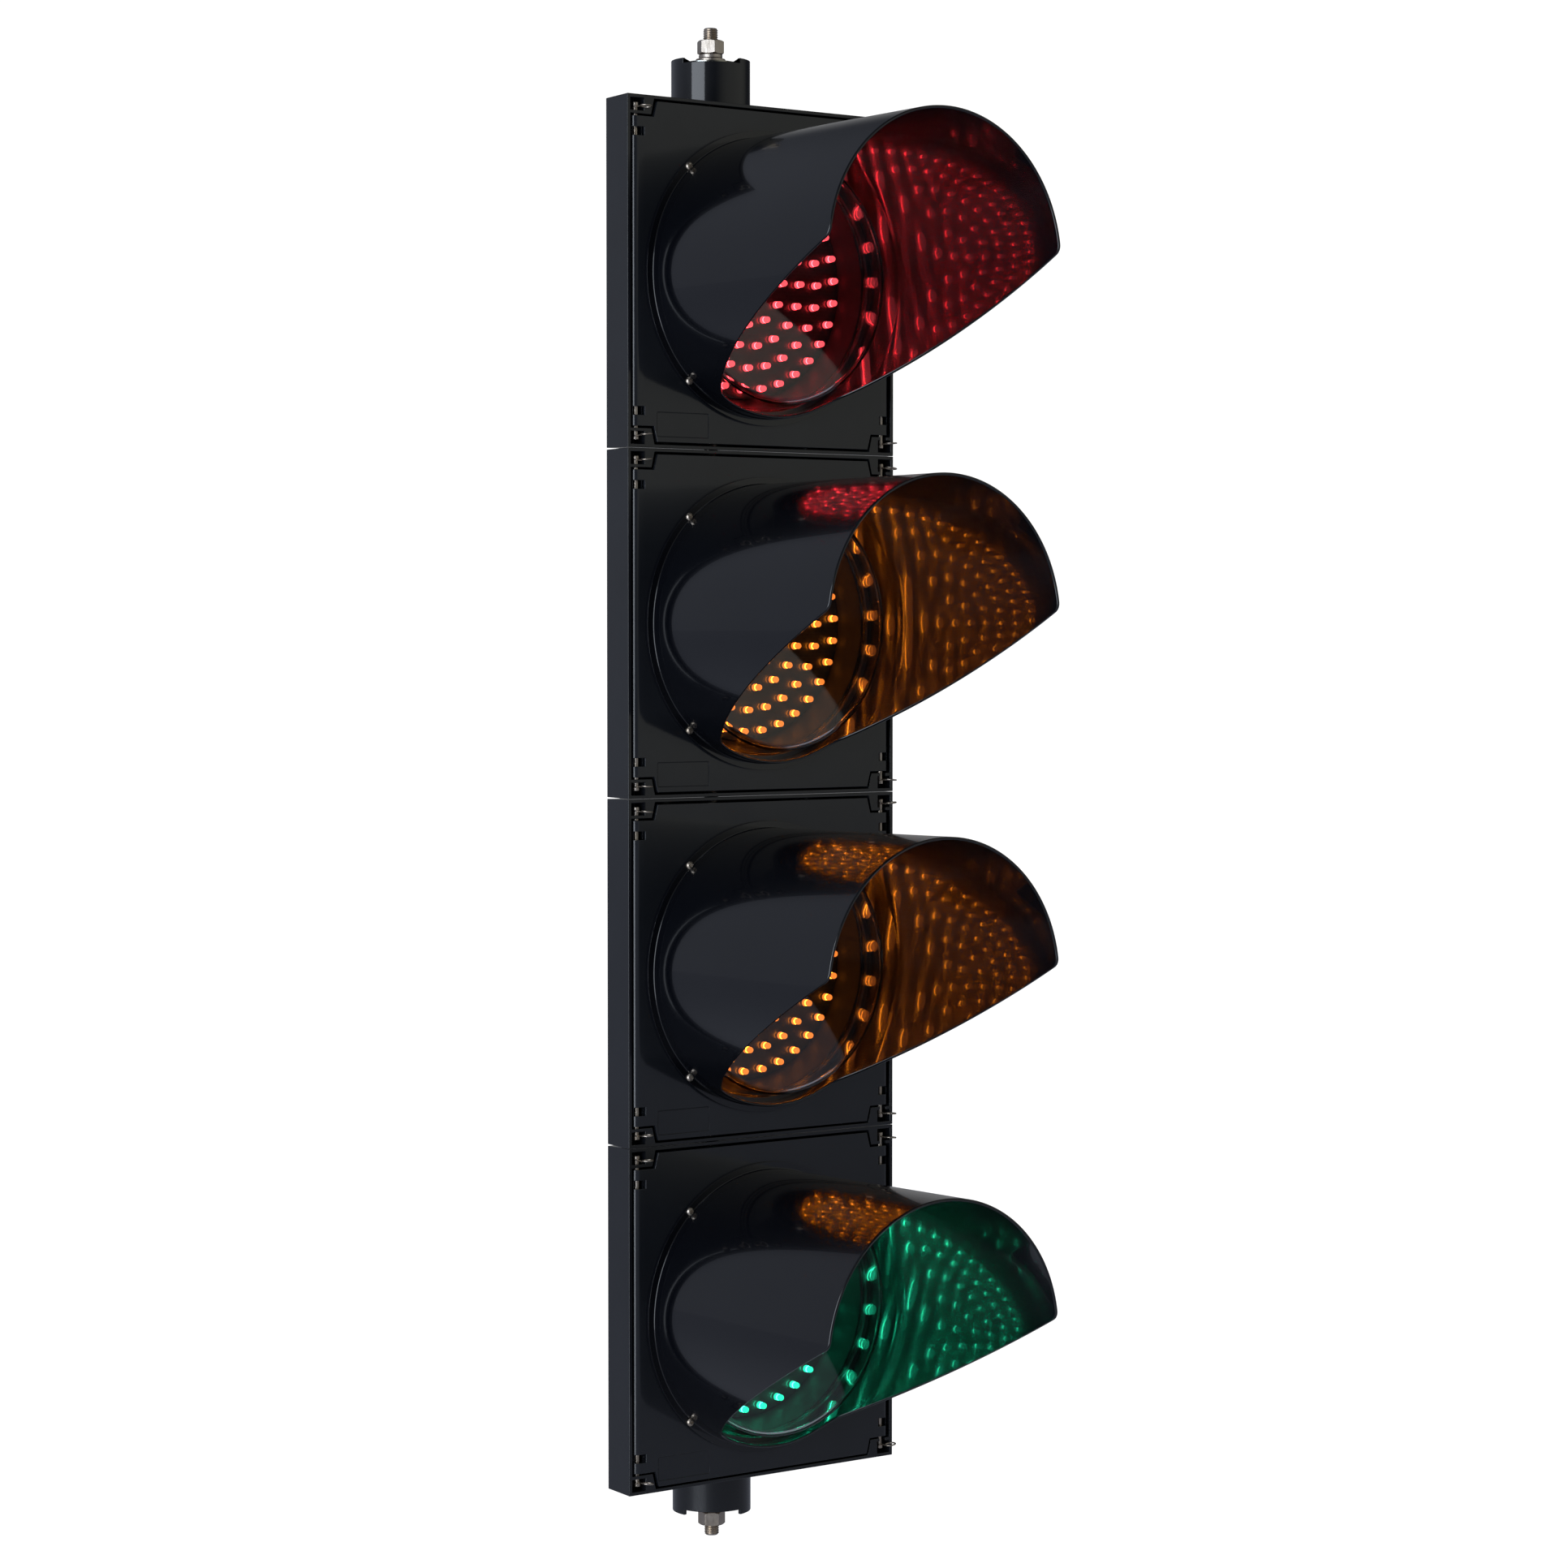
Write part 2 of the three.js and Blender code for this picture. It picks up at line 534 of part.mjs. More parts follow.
// ---- Terminal block ----------------------------------------------------------------------
function terminalBlock() {
  const { x0, x1, depth0, depth1, height, ways } = TERMINAL;
  const floor = -HALF_HEIGHT + BODY_STEP + WALL + GAP;
  const top = floor + height;
  const step = (x1 - x0) / ways;
  const screwY = atDepth((depth0 + depth1) / 2 + TERMINAL_SCREW.back);
  let shape = box(x0, x1, atDepth(depth0), atDepth(depth1), floor, top);
  for (let i = 0; i < ways; i += 1) {
    const x = x0 + (i + 0.5) * step;
    const entry = box(
      x - WIRE_ENTRY.halfWidth, x + WIRE_ENTRY.halfWidth,
      atDepth(depth0 - PAST), atDepth(depth0 + WIRE_ENTRY.depth),
      floor + WIRE_ENTRY.low, floor + WIRE_ENTRY.high,
    );
    const screw = post(
      TERMINAL_SCREW.radius, x, screwY, top - TERMINAL_SCREW.depth, top + PAST, FACETS.rod,
    );
    shape = shape.subtract(entry).subtract(screw);
  }
  return shape;
}

// ---- Assembly ----------------------------------------------------------------------------
function addSection(group, row) {
  const number = row + 1;
  const section = new THREE.Group();
  section.position.z = sectionHeight(row);
  group.add(section);
  let shell = housing;
  if (row === 0) shell = () => housingWithSpigot(TOP_END);
  if (row === SECTIONS - 1) shell = () => housingWithSpigot(BOTTOM_END);
  addMesh(section, `housing_${number}`, shell(), blackShell);
  addMesh(section, `door_${number}`, door(), blackDoor);
  addMesh(section, `visor_${number}`, visor(), glossVisor);
  addMesh(section, `lens_${number}`, lens(), smokedLens);
  addMesh(section, `led_board_${number}`, ledBoard(), boardGreen);
  addMesh(section, `lamp_shell_${number}`, lampShell(), darkPlastic);
  addMesh(section, `hinge_rod_${number}`, edgeRod(-1), stainless);
  addMesh(section, `latch_rod_${number}`, edgeRod(1), stainless);
  const tilt = CLIP_TILT[row];
  addClip(section, `hinge_clip_${number}_top`, -1, 1, tilt.leftTop);
  addClip(section, `hinge_clip_${number}_bottom`, -1, -1, tilt.leftBottom);
  addClip(section, `latch_clip_${number}_top`, 1, 1, tilt.rightTop);
  addClip(section, `latch_clip_${number}_bottom`, 1, -1, tilt.rightBottom);
  if (row === SECTIONS - 1) addMesh(section, "terminal_block", terminalBlock(), terminalGrey);
}

const signalHead = new THREE.Group();
for (let row = 0; row < SECTIONS; row += 1) addSection(signalHead, row);
addMesh(signalHead, "tie_rod", tieRod(), stainless);
addEndHardware(signalHead, TOP_END, "top");
addEndHardware(signalHead, BOTTOM_END, "bottom");

export default signalHead;
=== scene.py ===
"""Looks of a four-aspect LED traffic signal head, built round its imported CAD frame."""
import json
import math

import bmesh
import bpy
from mathutils import Matrix, Vector

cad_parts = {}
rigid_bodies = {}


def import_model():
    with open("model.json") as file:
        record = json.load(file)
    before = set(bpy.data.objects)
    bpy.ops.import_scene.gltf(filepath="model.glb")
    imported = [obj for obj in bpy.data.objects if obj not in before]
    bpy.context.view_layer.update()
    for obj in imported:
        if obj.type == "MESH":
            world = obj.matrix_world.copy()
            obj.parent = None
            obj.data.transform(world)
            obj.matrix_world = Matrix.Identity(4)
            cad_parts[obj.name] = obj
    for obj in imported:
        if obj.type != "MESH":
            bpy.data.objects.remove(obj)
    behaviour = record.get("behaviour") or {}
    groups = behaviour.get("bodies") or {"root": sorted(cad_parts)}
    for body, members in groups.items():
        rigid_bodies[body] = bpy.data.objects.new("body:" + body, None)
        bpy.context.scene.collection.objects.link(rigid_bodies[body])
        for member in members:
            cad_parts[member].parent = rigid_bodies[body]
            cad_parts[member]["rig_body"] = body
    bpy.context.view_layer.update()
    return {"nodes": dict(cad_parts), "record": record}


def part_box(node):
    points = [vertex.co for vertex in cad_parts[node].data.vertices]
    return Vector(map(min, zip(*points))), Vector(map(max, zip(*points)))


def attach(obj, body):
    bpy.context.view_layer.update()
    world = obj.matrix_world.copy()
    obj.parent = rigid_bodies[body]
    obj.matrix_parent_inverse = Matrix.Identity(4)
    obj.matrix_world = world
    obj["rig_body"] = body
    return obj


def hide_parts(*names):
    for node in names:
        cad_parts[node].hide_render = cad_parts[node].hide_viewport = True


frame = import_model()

MM = 0.001

# ---- Shape, in millimetres ----
# Lamp frame of a section: x to the right, y up, z ahead of the door face, from the lamp axis.
SECTIONS = (1, 2, 3, 4)
LAMP_COLOURS = {1: "red", 2: "amber", 3: "amber", 4: "green"}
PAST = 1  # how far a tool runs past what it cuts, or into what it joins
FIT_GAP = 0.3  # between pieces that meet
WALL = 2.75
RIM_SET_BACK = 1
RIM_DEPTH = 33
BODY_DEPTH = 108
BODY_HALF_WIDTH = 104
MOULD_DRAFT = 2
BODY_STEP = 0.5  # how far each end of a housing's body lies inside its rim's end
AXIS_DEPTH = 72  # of the tie rod, behind the door face

ROD_RADIUS = 2
ROD_X = 120
SIDES = {"hinge": -1, "latch": 1}
BEAD_RADIUS = 5.5
BEAD_END = 16.5  # from the housing's end to the end of a door's rolled edge
BORE_RADIUS = 2.7
ROD_HEAD = {"radius": 2.6, "height": 2.4, "cone": 1.2, "neck": 4}

TAB = {"outer": 25.4, "inner": 22.2, "height": 15, "depth": 17}
POCKET = {"width": 15.5, "end": 12.4, "depth": 15}
DOOR_GAP = 1.75
DOOR_THICKNESS = 3
DOOR_OPENING = 103.6
DOOR_BAND_LAP = 8
SKIRT = {"half_width": 84, "depth": 10}
WINDOW = {"inner": 5.2, "outer": 4.4, "near": 24.9, "far": 31.4, "depth": 8.5}
LABEL = {"x": (-103.5, -54.4), "y": (-126.1, -107.3), "corner": 1.2, "recess": 0.6, "inset": 0.5}
LABEL_FILM = (0.01, 0.15)  # its back and front, from the floor of the recess
DOOR_SEAL = {"half_width": 112.6, "half_height": 119, "corner": 20, "radius": 1.3}

FLANGE_RADIUS = 115
FLANGE_FACE = 3.4
FLANGE_BACK = 0.5
FLANGE_EDGES = (0.1, 0.12)  # radii of its back and front edge
VISOR_LENGTH = 226
VISOR_RADII = (109.5, 111.5)
VISOR_WALL = 2.4
VISOR_TIP_HEIGHT = 11
VISOR_CUT_SLOPE = 0.515
VISOR_BENDS = (14, 9)  # radii of the cut edge at the collar and at the tip
COLLAR = 16
VISOR_FILLET = 0.8
SCREW = {"x": 75.6, "y": 82.6, "radius": 3.1, "height": 2.3, "seat": 3.5}
SCREW_CROSS = {"half_width": 0.36, "arm": 0.52, "depth": 1.1}  # the arm is a share of the radius
SCREW_TURNS = {"section": 20, "next": 37}  # so that each screw is tightened to its own angle
CORNERS = {"top_left": (-1, 1), "top_right": (1, 1), "low_left": (-1, -1), "low_right": (1, -1)}

LENS = {"face": 28, "radius": 99, "shoulder": 5, "base": 103, "flange": 109.5, "wall": 2.5}
UNIT_SEAT = 6.4
BOARD = {"depth": 26.7, "radius": 92, "thickness": 1.6}
SHELL = {"flange": 109.5, "depth": 56, "back": 60, "wall": 2.5, "ledge": 4}
LED = {"radius": 2.5, "base": 2.9, "rim": 1, "tip": 18, "pitch": 17, "rings": 5, "outer_ring_turn": 3}

SPIGOT = {"radius": 31.5, "flare": 2, "flare_height": 6, "bore": 18, "recess": 28.6}
SPIGOT_HEIGHT = {"top": 43.5, "bottom": 40}
LUG = {"height": 4, "notch": 92, "bearing": -34}
THREAD = {"radius": 6, "depth": 0.95, "pitch": 1.75, "length": 34, "chamfer": 1.3}
ROD_HOLE = 6.7
NUT = {"across": 19, "chamfer": 0.2, "chamfer_angle": 28, "lead_in": 0.9}
NUT_TURN = {"top": 12, "bottom": 34}
WASHER_EDGES = {"flat_washer": 0.35, "spigot_disc": 0.25}
SPRING = {"clearance": 0.35, "rise": 0.7, "gap": 7, "edge": 0.25}
CLIP = {"wire": 0.6, "loop": 4.25, "offset": 3.6, "ahead": 9.8, "tail": 4.6, "turn": 348, "lift": 0.5}
TERMINAL = {"ways": 5, "step_back": 2, "groove": 0.3, "groove_depth": 1.2}
WIRE_ENTRY = {"half_width": 2.4, "depth": 5, "low": 4, "high": 11}
SCREW_WELL = {"radius": 1.9, "depth": 4, "screw_depth": 3.9}
TERMINAL_SCREW = {"radius": 1.7, "height": 1.4, "slot": 0.3, "slot_floor": 0.7}
# How far each section's top and bottom ring clip leans to one side, in degrees.
CLIP_TILTS = {
    "hinge": ((4, -6), (-5, 3), (6, -4), (-3, 5)),
    "latch": ((5, -3), (8, 4), (-7, 2), (4, -8)),
}

# ---- Studio values ----
# A bearing is from straight ahead of the lamps, positive to their left, in degrees.
FLOOR = {"height": -0.45, "radius": 20, "thickness": 0.02}
FLOOR_GLOW = (0.13, 0.14, 0.175)
DIM_ROOM = (0.022, 0.024, 0.03)
BACKDROP = 1.1  # strength of the white that the camera sees behind the object
ROOM_GLOWS = (  # bearing, elevation, radiance, spread
    (144, 5, (0.18, 0.192, 0.225), 75),
    (-36, 14, (0.285, 0.285, 0.255), 60),
    (216, 2, (0.2, 0.2, 0.2), 28),
)
SOFTBOX = {"bearing": 73, "height": 0.64, "distance": 2.4, "size": (1.7, 2.14), "power": 44}
SOFTBOX_COLOUR = (0.84, 0.91, 1.0)
CAMERA = {"lens": 90.217, "sensor": 36, "tilt": 87.833, "turn": -37.067}
CAMERA_PLACE = (-1.8527, -2.5497, 0.726)


# ---- Frames ----
def lamp_frame(number):
    """Turns millimetres in a section's lamp frame into metres in the CAD frame."""
    low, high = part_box(f"door_{number}")
    axes = Matrix(((1, 0, 0), (0, 0, -1), (0, 1, 0))).to_4x4()
    middle = Vector((0, low.y, (low.z + high.z) / 2))
    return Matrix.Translation(middle) @ axes @ Matrix.Scale(MM, 4)


def end_frame(end, height):
    """Millimetres about the tie rod, z pointing out of that end, from a height in metres."""
    turn = Matrix.Rotation(math.pi if end == "bottom" else 0, 4, "X")
    return Matrix.Translation((0, 0, height)) @ turn @ Matrix.Scale(MM, 4)


HOUSING_LOW, HOUSING_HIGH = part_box("housing_2")
HALF_WIDTH = (HOUSING_HIGH.x - HOUSING_LOW.x) / 2 / MM
HALF_HEIGHT = (HOUSING_HIGH.z - HOUSING_LOW.z) / 2 / MM
DOOR_HALF_HEIGHT = HALF_HEIGHT - WALL - DOOR_GAP
UP_AXIS = Matrix(((1, 0, 0), (0, 0, 1), (0, -1, 0))).to_4x4()  # z of a shape turned to y


# ---- Mesh tools ----
def mesh_object(name, verts, faces):
    mesh = bpy.data.meshes.new(name)
    mesh.from_pydata([tuple(v) for v in verts], [], faces)
    work = bmesh.new()
    work.from_mesh(mesh)
    bmesh.ops.recalc_face_normals(work, faces=work.faces)
    work.to_mesh(mesh)
    work.free()
    obj = bpy.data.objects.new(name, mesh)
    bpy.context.scene.collection.objects.link(obj)
    return obj


def skin(rings, count, joined=False, first=0):
    """Quads between neighbouring rings of points, and from the last back to the first if joined."""
    faces = []
    for i in range(rings if joined else rings - 1):
        a = first + i * count
        b = first + (i + 1) % rings * count
        for k in range(count):
            m = (k + 1) % count
            faces.append([a + k, a + m, b + m, b + k])
    return faces


def caps(count, total):
    """Faces that close the first and last ring."""
    return [list(range(count)), list(range(total - count, total))]


def spun(radius, angle, z):
    """A point this far from the z axis."""
    return radius * math.cos(angle), radius * math.sin(angle), z


def arc(centre, radius, start, stop, steps):
    """Points of an arc in the plane, both ends included; angles in degrees."""
    angles = [math.radians(start + (stop - start) * i / steps) for i in range(steps + 1)]
    return [(centre[0] + radius * math.cos(a), centre[1] + radius * math.sin(a)) for a in angles]


def circle(centre, radius, count):
    """Corners of a regular polygon with this many sides."""
    return arc(centre, radius, 0, 360 - 360 / count, count - 1)


def rounded(points, radius, steps=5, closed=True):
    """An outline with its corners rounded. A point (x, y, r) has a radius of its own."""
    made = []
    for i, point in enumerate(points):
        corner = Vector(point[:2])
        reach = point[2] if len(point) > 2 else radius
        if reach == 0 or (not closed and i in (0, len(points) - 1)):
            made.append(tuple(corner))
            continue
        before = Vector(points[i - 1][:2]) - corner
        after = Vector(points[(i + 1) % len(points)][:2]) - corner
        half = before.angle(after) / 2
        tangent = min(reach / math.tan(half), before.length * 0.49, after.length * 0.49)
        inward = (before.normalized() + after.normalized()).normalized()
        middle = corner + inward * (tangent / math.cos(half))
        first = corner + before.normalized() * tangent - middle
        turn = first.angle_signed(corner + after.normalized() * tangent - middle)
        for k in range(steps + 1):
            spoke = first.copy()
            spoke.rotate(Matrix.Rotation(-turn * k / steps, 2))
            made.append(tuple(middle + spoke))
    return made


def turned(name, profile, steps=96):
    """A profile of (radius, z) points turned about z. It closes on itself or on the axis."""
    verts, rings = [], []
    for radius, z in profile:
        count = 1 if radius < 1e-6 else steps
        rings.append(range(len(verts), len(verts) + count))
        verts += [spun(radius, 2 * math.pi * i / steps, z) for i in range(count)]
    faces = []
    for a, b in zip(rings, [*rings[1:], rings[0]]):
        for i in range(steps):
            j = (i + 1) % steps
            corners = [a[i % len(a)], a[j % len(a)], b[j % len(b)], b[i % len(b)]]
            corners = list(dict.fromkeys(corners))
            if len(corners) > 2:
                faces.append(corners)
    return mesh_object(name, verts, faces)


def drill(radius, low, high, steps):
    """A cylinder along z."""
    return turned("tool", [(0, low), (radius, low), (radius, high), (0, high)], steps)


def prism(name, outline, z0, z1):
    """An outline of (x, y) points raised along z."""
    count = len(outline)
    verts = [(*p, z) for z in (z0, z1) for p in outline]
    return mesh_object(name, verts, caps(count, 2 * count) + skin(2, count))


def upright(name, outline, y0, y1):
    """An outline of (x, z) points raised along y."""
    obj = prism(name, [(x, -z) for x, z in outline], y0, y1)
    obj.data.transform(UP_AXIS)
    return obj


def block(name, x, y, z):
    """A box from its (low, high) pairs."""
    return prism(name, [(x[0], y[0]), (x[1], y[0]), (x[1], y[1]), (x[0], y[1])], *z)


def tapered(name, front, back):
    """A block whose front and back are centred rectangles: (half width, half height, z)."""
    verts = []
    for half_width, half_height, z in (front, back):
        for sx, sy in ((-1, -1), (1, -1), (1, 1), (-1, 1)):
            verts.append((sx * half_width, sy * half_height, z))
    return mesh_object(name, verts, caps(4, 8) + skin(2, 4))


def rod(name, radius, x, z, y0, y1, steps=48):
    """A cylinder along y."""
    return upright(name, circle((x, z), radius, steps), y0, y1)


def tube(name, path, radius, sides=12):
    """A round wire along a path, a little thinner at its ends."""
    path = [Vector(p) for p in path]
    verts = []
    across = None
    for i, point in enumerate(path):
        ahead = (path[min(i + 1, len(path) - 1)] - path[max(i - 1, 0)]).normalized()
        if across is None:
            across = ahead.orthogonal().normalized()
        across = (across - ahead * across.dot(ahead)).normalized()
        side = ahead.cross(across)
        share = 0.7 if i in (0, len(path) - 1) else 1
        for k in range(sides):
            angle = 2 * math.pi * k / sides
            verts.append(point + (across * math.cos(angle) + side * math.sin(angle)) * radius * share)
    return mesh_object(name, verts, skin(len(path), sides) + caps(sides, len(verts)))


def bake(obj):
    """Applies every modifier."""
    graph = bpy.context.evaluated_depsgraph_get()
    mesh = bpy.data.meshes.new_from_object(obj.evaluated_get(graph), depsgraph=graph)
    obj.modifiers.clear()
    obj.data = mesh
    return obj


def boolean(obj, operation, tools):
    for tool in tools:
        change = obj.modifiers.new("join_or_cut", "BOOLEAN")
        change.operation = operation
        change.object = tool
        change.solver = "EXACT"
    bake(obj)
    for tool in tools:
        bpy.data.objects.remove(tool)
    return obj


def join(obj, *tools):
    return boolean(obj, "UNION", tools)


def cut(obj, *tools):
    return boolean(obj, "DIFFERENCE", tools)


def mirrored(make, flips=((1, 1), (-1, 1), (1, -1), (-1, -1))):
    """Copies of a shape mirrored across x and y."""
    made = []
    for sx, sy in flips:
        obj = make()
        obj.data.transform(Matrix.Diagonal((sx, sy, 1, 1)))
        if sx * sy < 0:
            obj.data.flip_normals()
        made.append(obj)
    return made


def soften(obj, width):
    """Rounds the hard edges and shades the rest smooth."""
    obj.data.shade_smooth()
    bevel = obj.modifiers.new("edges", "BEVEL")
    bevel.width = width
    bevel.segments = 2
    bevel.limit_method = "ANGLE"
    bevel.angle_limit = math.radians(30)
    bevel.use_clamp_overlap = False
    bevel.harden_normals = True
    return bake(obj)


def smooth(obj, angle=35):
    """Smooth shading that keeps wide faces flat and hard edges sharp."""
    obj.data.shade_smooth()
    obj.data.set_sharp_from_angle(angle=math.radians(angle))
    weighted = obj.modifiers.new("normals", "WEIGHTED_NORMAL")
    weighted.keep_sharp = True
    return bake(obj)


def placed_copy(master, name, matrix):
    obj = bpy.data.objects.new(name, master.data.copy())
    bpy.context.scene.collection.objects.link(obj)
    obj.data.transform(matrix)
    return obj


# ---- Housing ----
def rear_outline(inset, front_depth):
    """Plan of a housing's body, a half ellipse with straight sides ahead of it, as (x, z)."""
    reach = BODY_DEPTH - RIM_DEPTH - inset
    half_width = BODY_HALF_WIDTH - inset
    steps = 40
    points = []
    for i in range(steps + 1):
        angle = math.pi * i / steps
        points.append((half_width * math.cos(angle), -RIM_DEPTH - reach * math.sin(angle)))
    return [*points, (-half_width, -front_depth), (half_width, -front_depth)]


def housing_shell():
    body_height = HALF_HEIGHT - BODY_STEP
    inside_height = body_height - WALL
    shell = tapered(
        "housing_master",
        (HALF_WIDTH, HALF_HEIGHT, -RIM_SET_BACK),
        (HALF_WIDTH - MOULD_DRAFT, body_height, -RIM_DEPTH),
    )
    join(shell, upright("tool", rear_outline(0, RIM_DEPTH - WALL), -body_height, body_height))
    rim_inside = tapered(
        "tool",
        (HALF_WIDTH - WALL, HALF_HEIGHT - WALL, PAST),
        (HALF_WIDTH - WALL - MOULD_DRAFT, HALF_HEIGHT - WALL - BODY_STEP, WALL - RIM_DEPTH),
    )
    cut(shell, rim_inside)
    hollow = rear_outline(WALL, RIM_DEPTH - WALL - PAST)
    cut(shell, upright("tool", hollow, -inside_height, inside_height))
    return shell


def corner_tab():
    end = HALF_HEIGHT - WALL / 2
    side = -HALF_WIDTH + WALL / 2
    near = HALF_HEIGHT - TAB["height"]
    inner, outer = TAB["inner"] - HALF_WIDTH, TAB["outer"] - HALF_WIDTH
    outline = [(side, end), (side, near), (inner, near), (outer, end)]
    return prism("tool", outline, -TAB["depth"], -RIM_SET_BACK)


def pocket():
    return block(
        "tool",
        (WALL - HALF_WIDTH, POCKET["width"] - HALF_WIDTH),
        (HALF_HEIGHT - POCKET["end"], HALF_HEIGHT - WALL),
        (-POCKET["depth"], PAST),
    )


def through_shelf():
    """How low and high a tool runs to pass the shelf between a pocket and the door's edge."""
    return HALF_HEIGHT - TAB["height"] - PAST, HALF_HEIGHT - POCKET["end"] + PAST


def shelf_hole():
    return rod("tool", BORE_RADIUS, -ROD_X, -BEAD_RADIUS, *through_shelf(), 32)


def shelf_slot():
    half = BORE_RADIUS + FIT_GAP
    return block("tool", (-ROD_X - half, -ROD_X + half), through_shelf(), (-BEAD_RADIUS - half, PAST))


def spigot_seat(end):
    """How far out of the housing's body the disc in its spigot is seated."""
    door_low, door_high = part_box(f"door_{SECTIONS[0 if end == 'top' else -1]}")
    disc_low, disc_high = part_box(f"spigot_disc_{end}")
    middle = (door_low.z + door_high.z) / 2
    from_middle = disc_low.z - middle if end == "top" else middle - disc_high.z
    return from_middle / MM - (HALF_HEIGHT - BODY_STEP) - FIT_GAP


def spigot_profile(height):
    radius, foot = SPIGOT["radius"], SPIGOT["radius"] + SPIGOT["flare"]
    side = rounded([
        (foot, -WALL), (foot, 0), (radius, SPIGOT["flare_height"], 5), (radius, height - 1),
    ], 0.5, 6, False)
    return [(0, -WALL), *side, (radius, height), (0, height)]


def add_spigot(shell, end):
    """Joins the claw-toothed spigot to the end of a housing, and opens it."""
    sign = 1 if end == "top" else -1
    height = SPIGOT_HEIGHT[end]
    seat = spigot_seat(end)
    spigot = turned("tool", spigot_profile(height), 128)
    cut(spigot, drill(SPIGOT["recess"], seat, height + PAST, 96))
    cut(spigot, drill(SPIGOT["bore"], -WALL - PAST, seat + PAST, 96))
    half_notch = LUG["notch"] / 2
    for turn in (0, 180):
        bearing = sign * (LUG["bearing"] + turn - 90)
        rim = arc((0, 0), 2 * SPIGOT["radius"], bearing - half_notch, bearing + half_notch, 8)
        cut(spigot, prism("tool", [(0, 0), *rim], height - LUG["height"], height + PAST))
    face = sign * (HALF_HEIGHT - BODY_STEP)
    outward = Matrix.Rotation(-sign * math.pi / 2, 4, "X")
    spigot.data.transform(Matrix.Translation((0, face, -AXIS_DEPTH)) @ outward)
    join(shell, spigot)
    ends = sorted((face - sign * (WALL + PAST), face + sign * PAST))
    return cut(shell, rod("tool", SPIGOT["bore"], 0, -AXIS_DEPTH, *ends, 96))


def housing(end=None):
    shell = housing_shell()
    join(shell, *mirrored(corner_tab))
    hinge_side = ((1, 1), (1, -1))
    latch_side = ((-1, 1), (-1, -1))
    cut(shell, *mirrored(pocket), *mirrored(shelf_hole, hinge_side), *mirrored(shelf_slot, latch_side))
    cut(shell, rod("tool", ROD_HOLE, 0, -AXIS_DEPTH, -HALF_HEIGHT - PAST, HALF_HEIGHT + PAST))
    if end:
        add_spigot(shell, end)
    return soften(shell, 0.45)


# ---- Door ----
def door_section():
    """Section across the door: a plate whose two edges roll round the rods."""
    rise = BEAD_RADIUS - DOOR_THICKNESS
    inner = math.degrees(math.acos(-math.sqrt(BEAD_RADIUS**2 - rise**2) / BEAD_RADIUS))
    right = arc((ROD_X, -BEAD_RADIUS), BEAD_RADIUS, 90, inner - 360, 24)
    return [*right, *[(-x, z) for x, z in reversed(right)]]


def door_band():
    """The plate's end beyond its rolled edges, narrowing between the corner tabs."""
    top = DOOR_HALF_HEIGHT
    notch = HALF_HEIGHT - BEAD_END
    outer = HALF_WIDTH - TAB["outer"] - DOOR_GAP
    inner = HALF_WIDTH - TAB["inner"] - DOOR_GAP
    outline = [(inner, notch - DOOR_BAND_LAP), (inner, notch), (outer, top)]
    return prism("tool", [*outline, *[(-x, y) for x, y in reversed(outline)]], -DOOR_THICKNESS, 0)


def door_skirt():
    half, top = SKIRT["half_width"], DOOR_HALF_HEIGHT
    return block("tool", (-half, half), (top - WALL, top), (-SKIRT["depth"], -PAST))


def door_window():
    return block(
        "tool",
        (-ROD_X - WINDOW["outer"], -ROD_X + WINDOW["inner"]),
        (HALF_HEIGHT - WINDOW["far"], HALF_HEIGHT - WINDOW["near"]),
        (-WINDOW["depth"], PAST),
    )


def door():
    reach = HALF_HEIGHT - BEAD_END
    ends = ((1, 1), (1, -1))
    leaf = upright("door_master", door_section(), -reach, reach)
    join(leaf, *mirrored(door_band, ends))
    join(leaf, *mirrored(door_skirt, ends))
    opening = prism("tool", circle((0, 0), DOOR_OPENING, 144), -SKIRT["depth"], PAST)
    bores = []
    for x in (-ROD_X, ROD_X):
        bores.append(rod("tool", BORE_RADIUS, x, -BEAD_RADIUS, -HALF_HEIGHT, HALF_HEIGHT, 32))
    cut(leaf, opening, *bores)
    cut(leaf, *mirrored(door_window), label_shape("tool", 0, -LABEL["recess"], PAST))
    return soften(leaf, 0.35)


def label_shape(name, inset, low, high):
    left, right = LABEL["x"][0] + inset, LABEL["x"][1] - inset
    bottom, top = LABEL["y"][0] + inset, LABEL["y"][1] - inset
    corners = [(left, bottom), (right, bottom), (right, top), (left, top)]
    return prism(name, rounded(corners, LABEL["corner"], 4), low, high)


def label():
    """Blank film lying in the door's shallow label recess."""
    back, front = (height - LABEL["recess"] for height in LABEL_FILM)
    return soften(label_shape("label_master", LABEL["inset"], back, front), 0.05)


def door_seal():
    """Rubber cord round the back of the door."""
    w, h = DOOR_SEAL["half_width"], DOOR_SEAL["half_height"]
    path = rounded([(w, -h), (w, h), (-w, h), (-w, -h)], DOOR_SEAL["corner"], 10)
    z = -DOOR_THICKNESS - DOOR_SEAL["radius"]
    loop = [(x, y, z) for x, y in [*path, path[0]]]
    return smooth(tube("door_seal_master", loop, DOOR_SEAL["radius"], 12))


# ---- Visor ----
def visor_edge():
    """Side view of the visor's cut edge as (y, ahead), from the bottom to the top."""
    low = VISOR_TIP_HEIGHT - VISOR_CUT_SLOPE * (VISOR_LENGTH - COLLAR)
    collar_bend, tip_bend = VISOR_BENDS
    beyond = 150
    return rounded([
        (-beyond, COLLAR), (low, COLLAR, collar_bend),
        (VISOR_TIP_HEIGHT, VISOR_LENGTH, tip_bend), (beyond, VISOR_LENGTH),
    ], 0, 10, False)


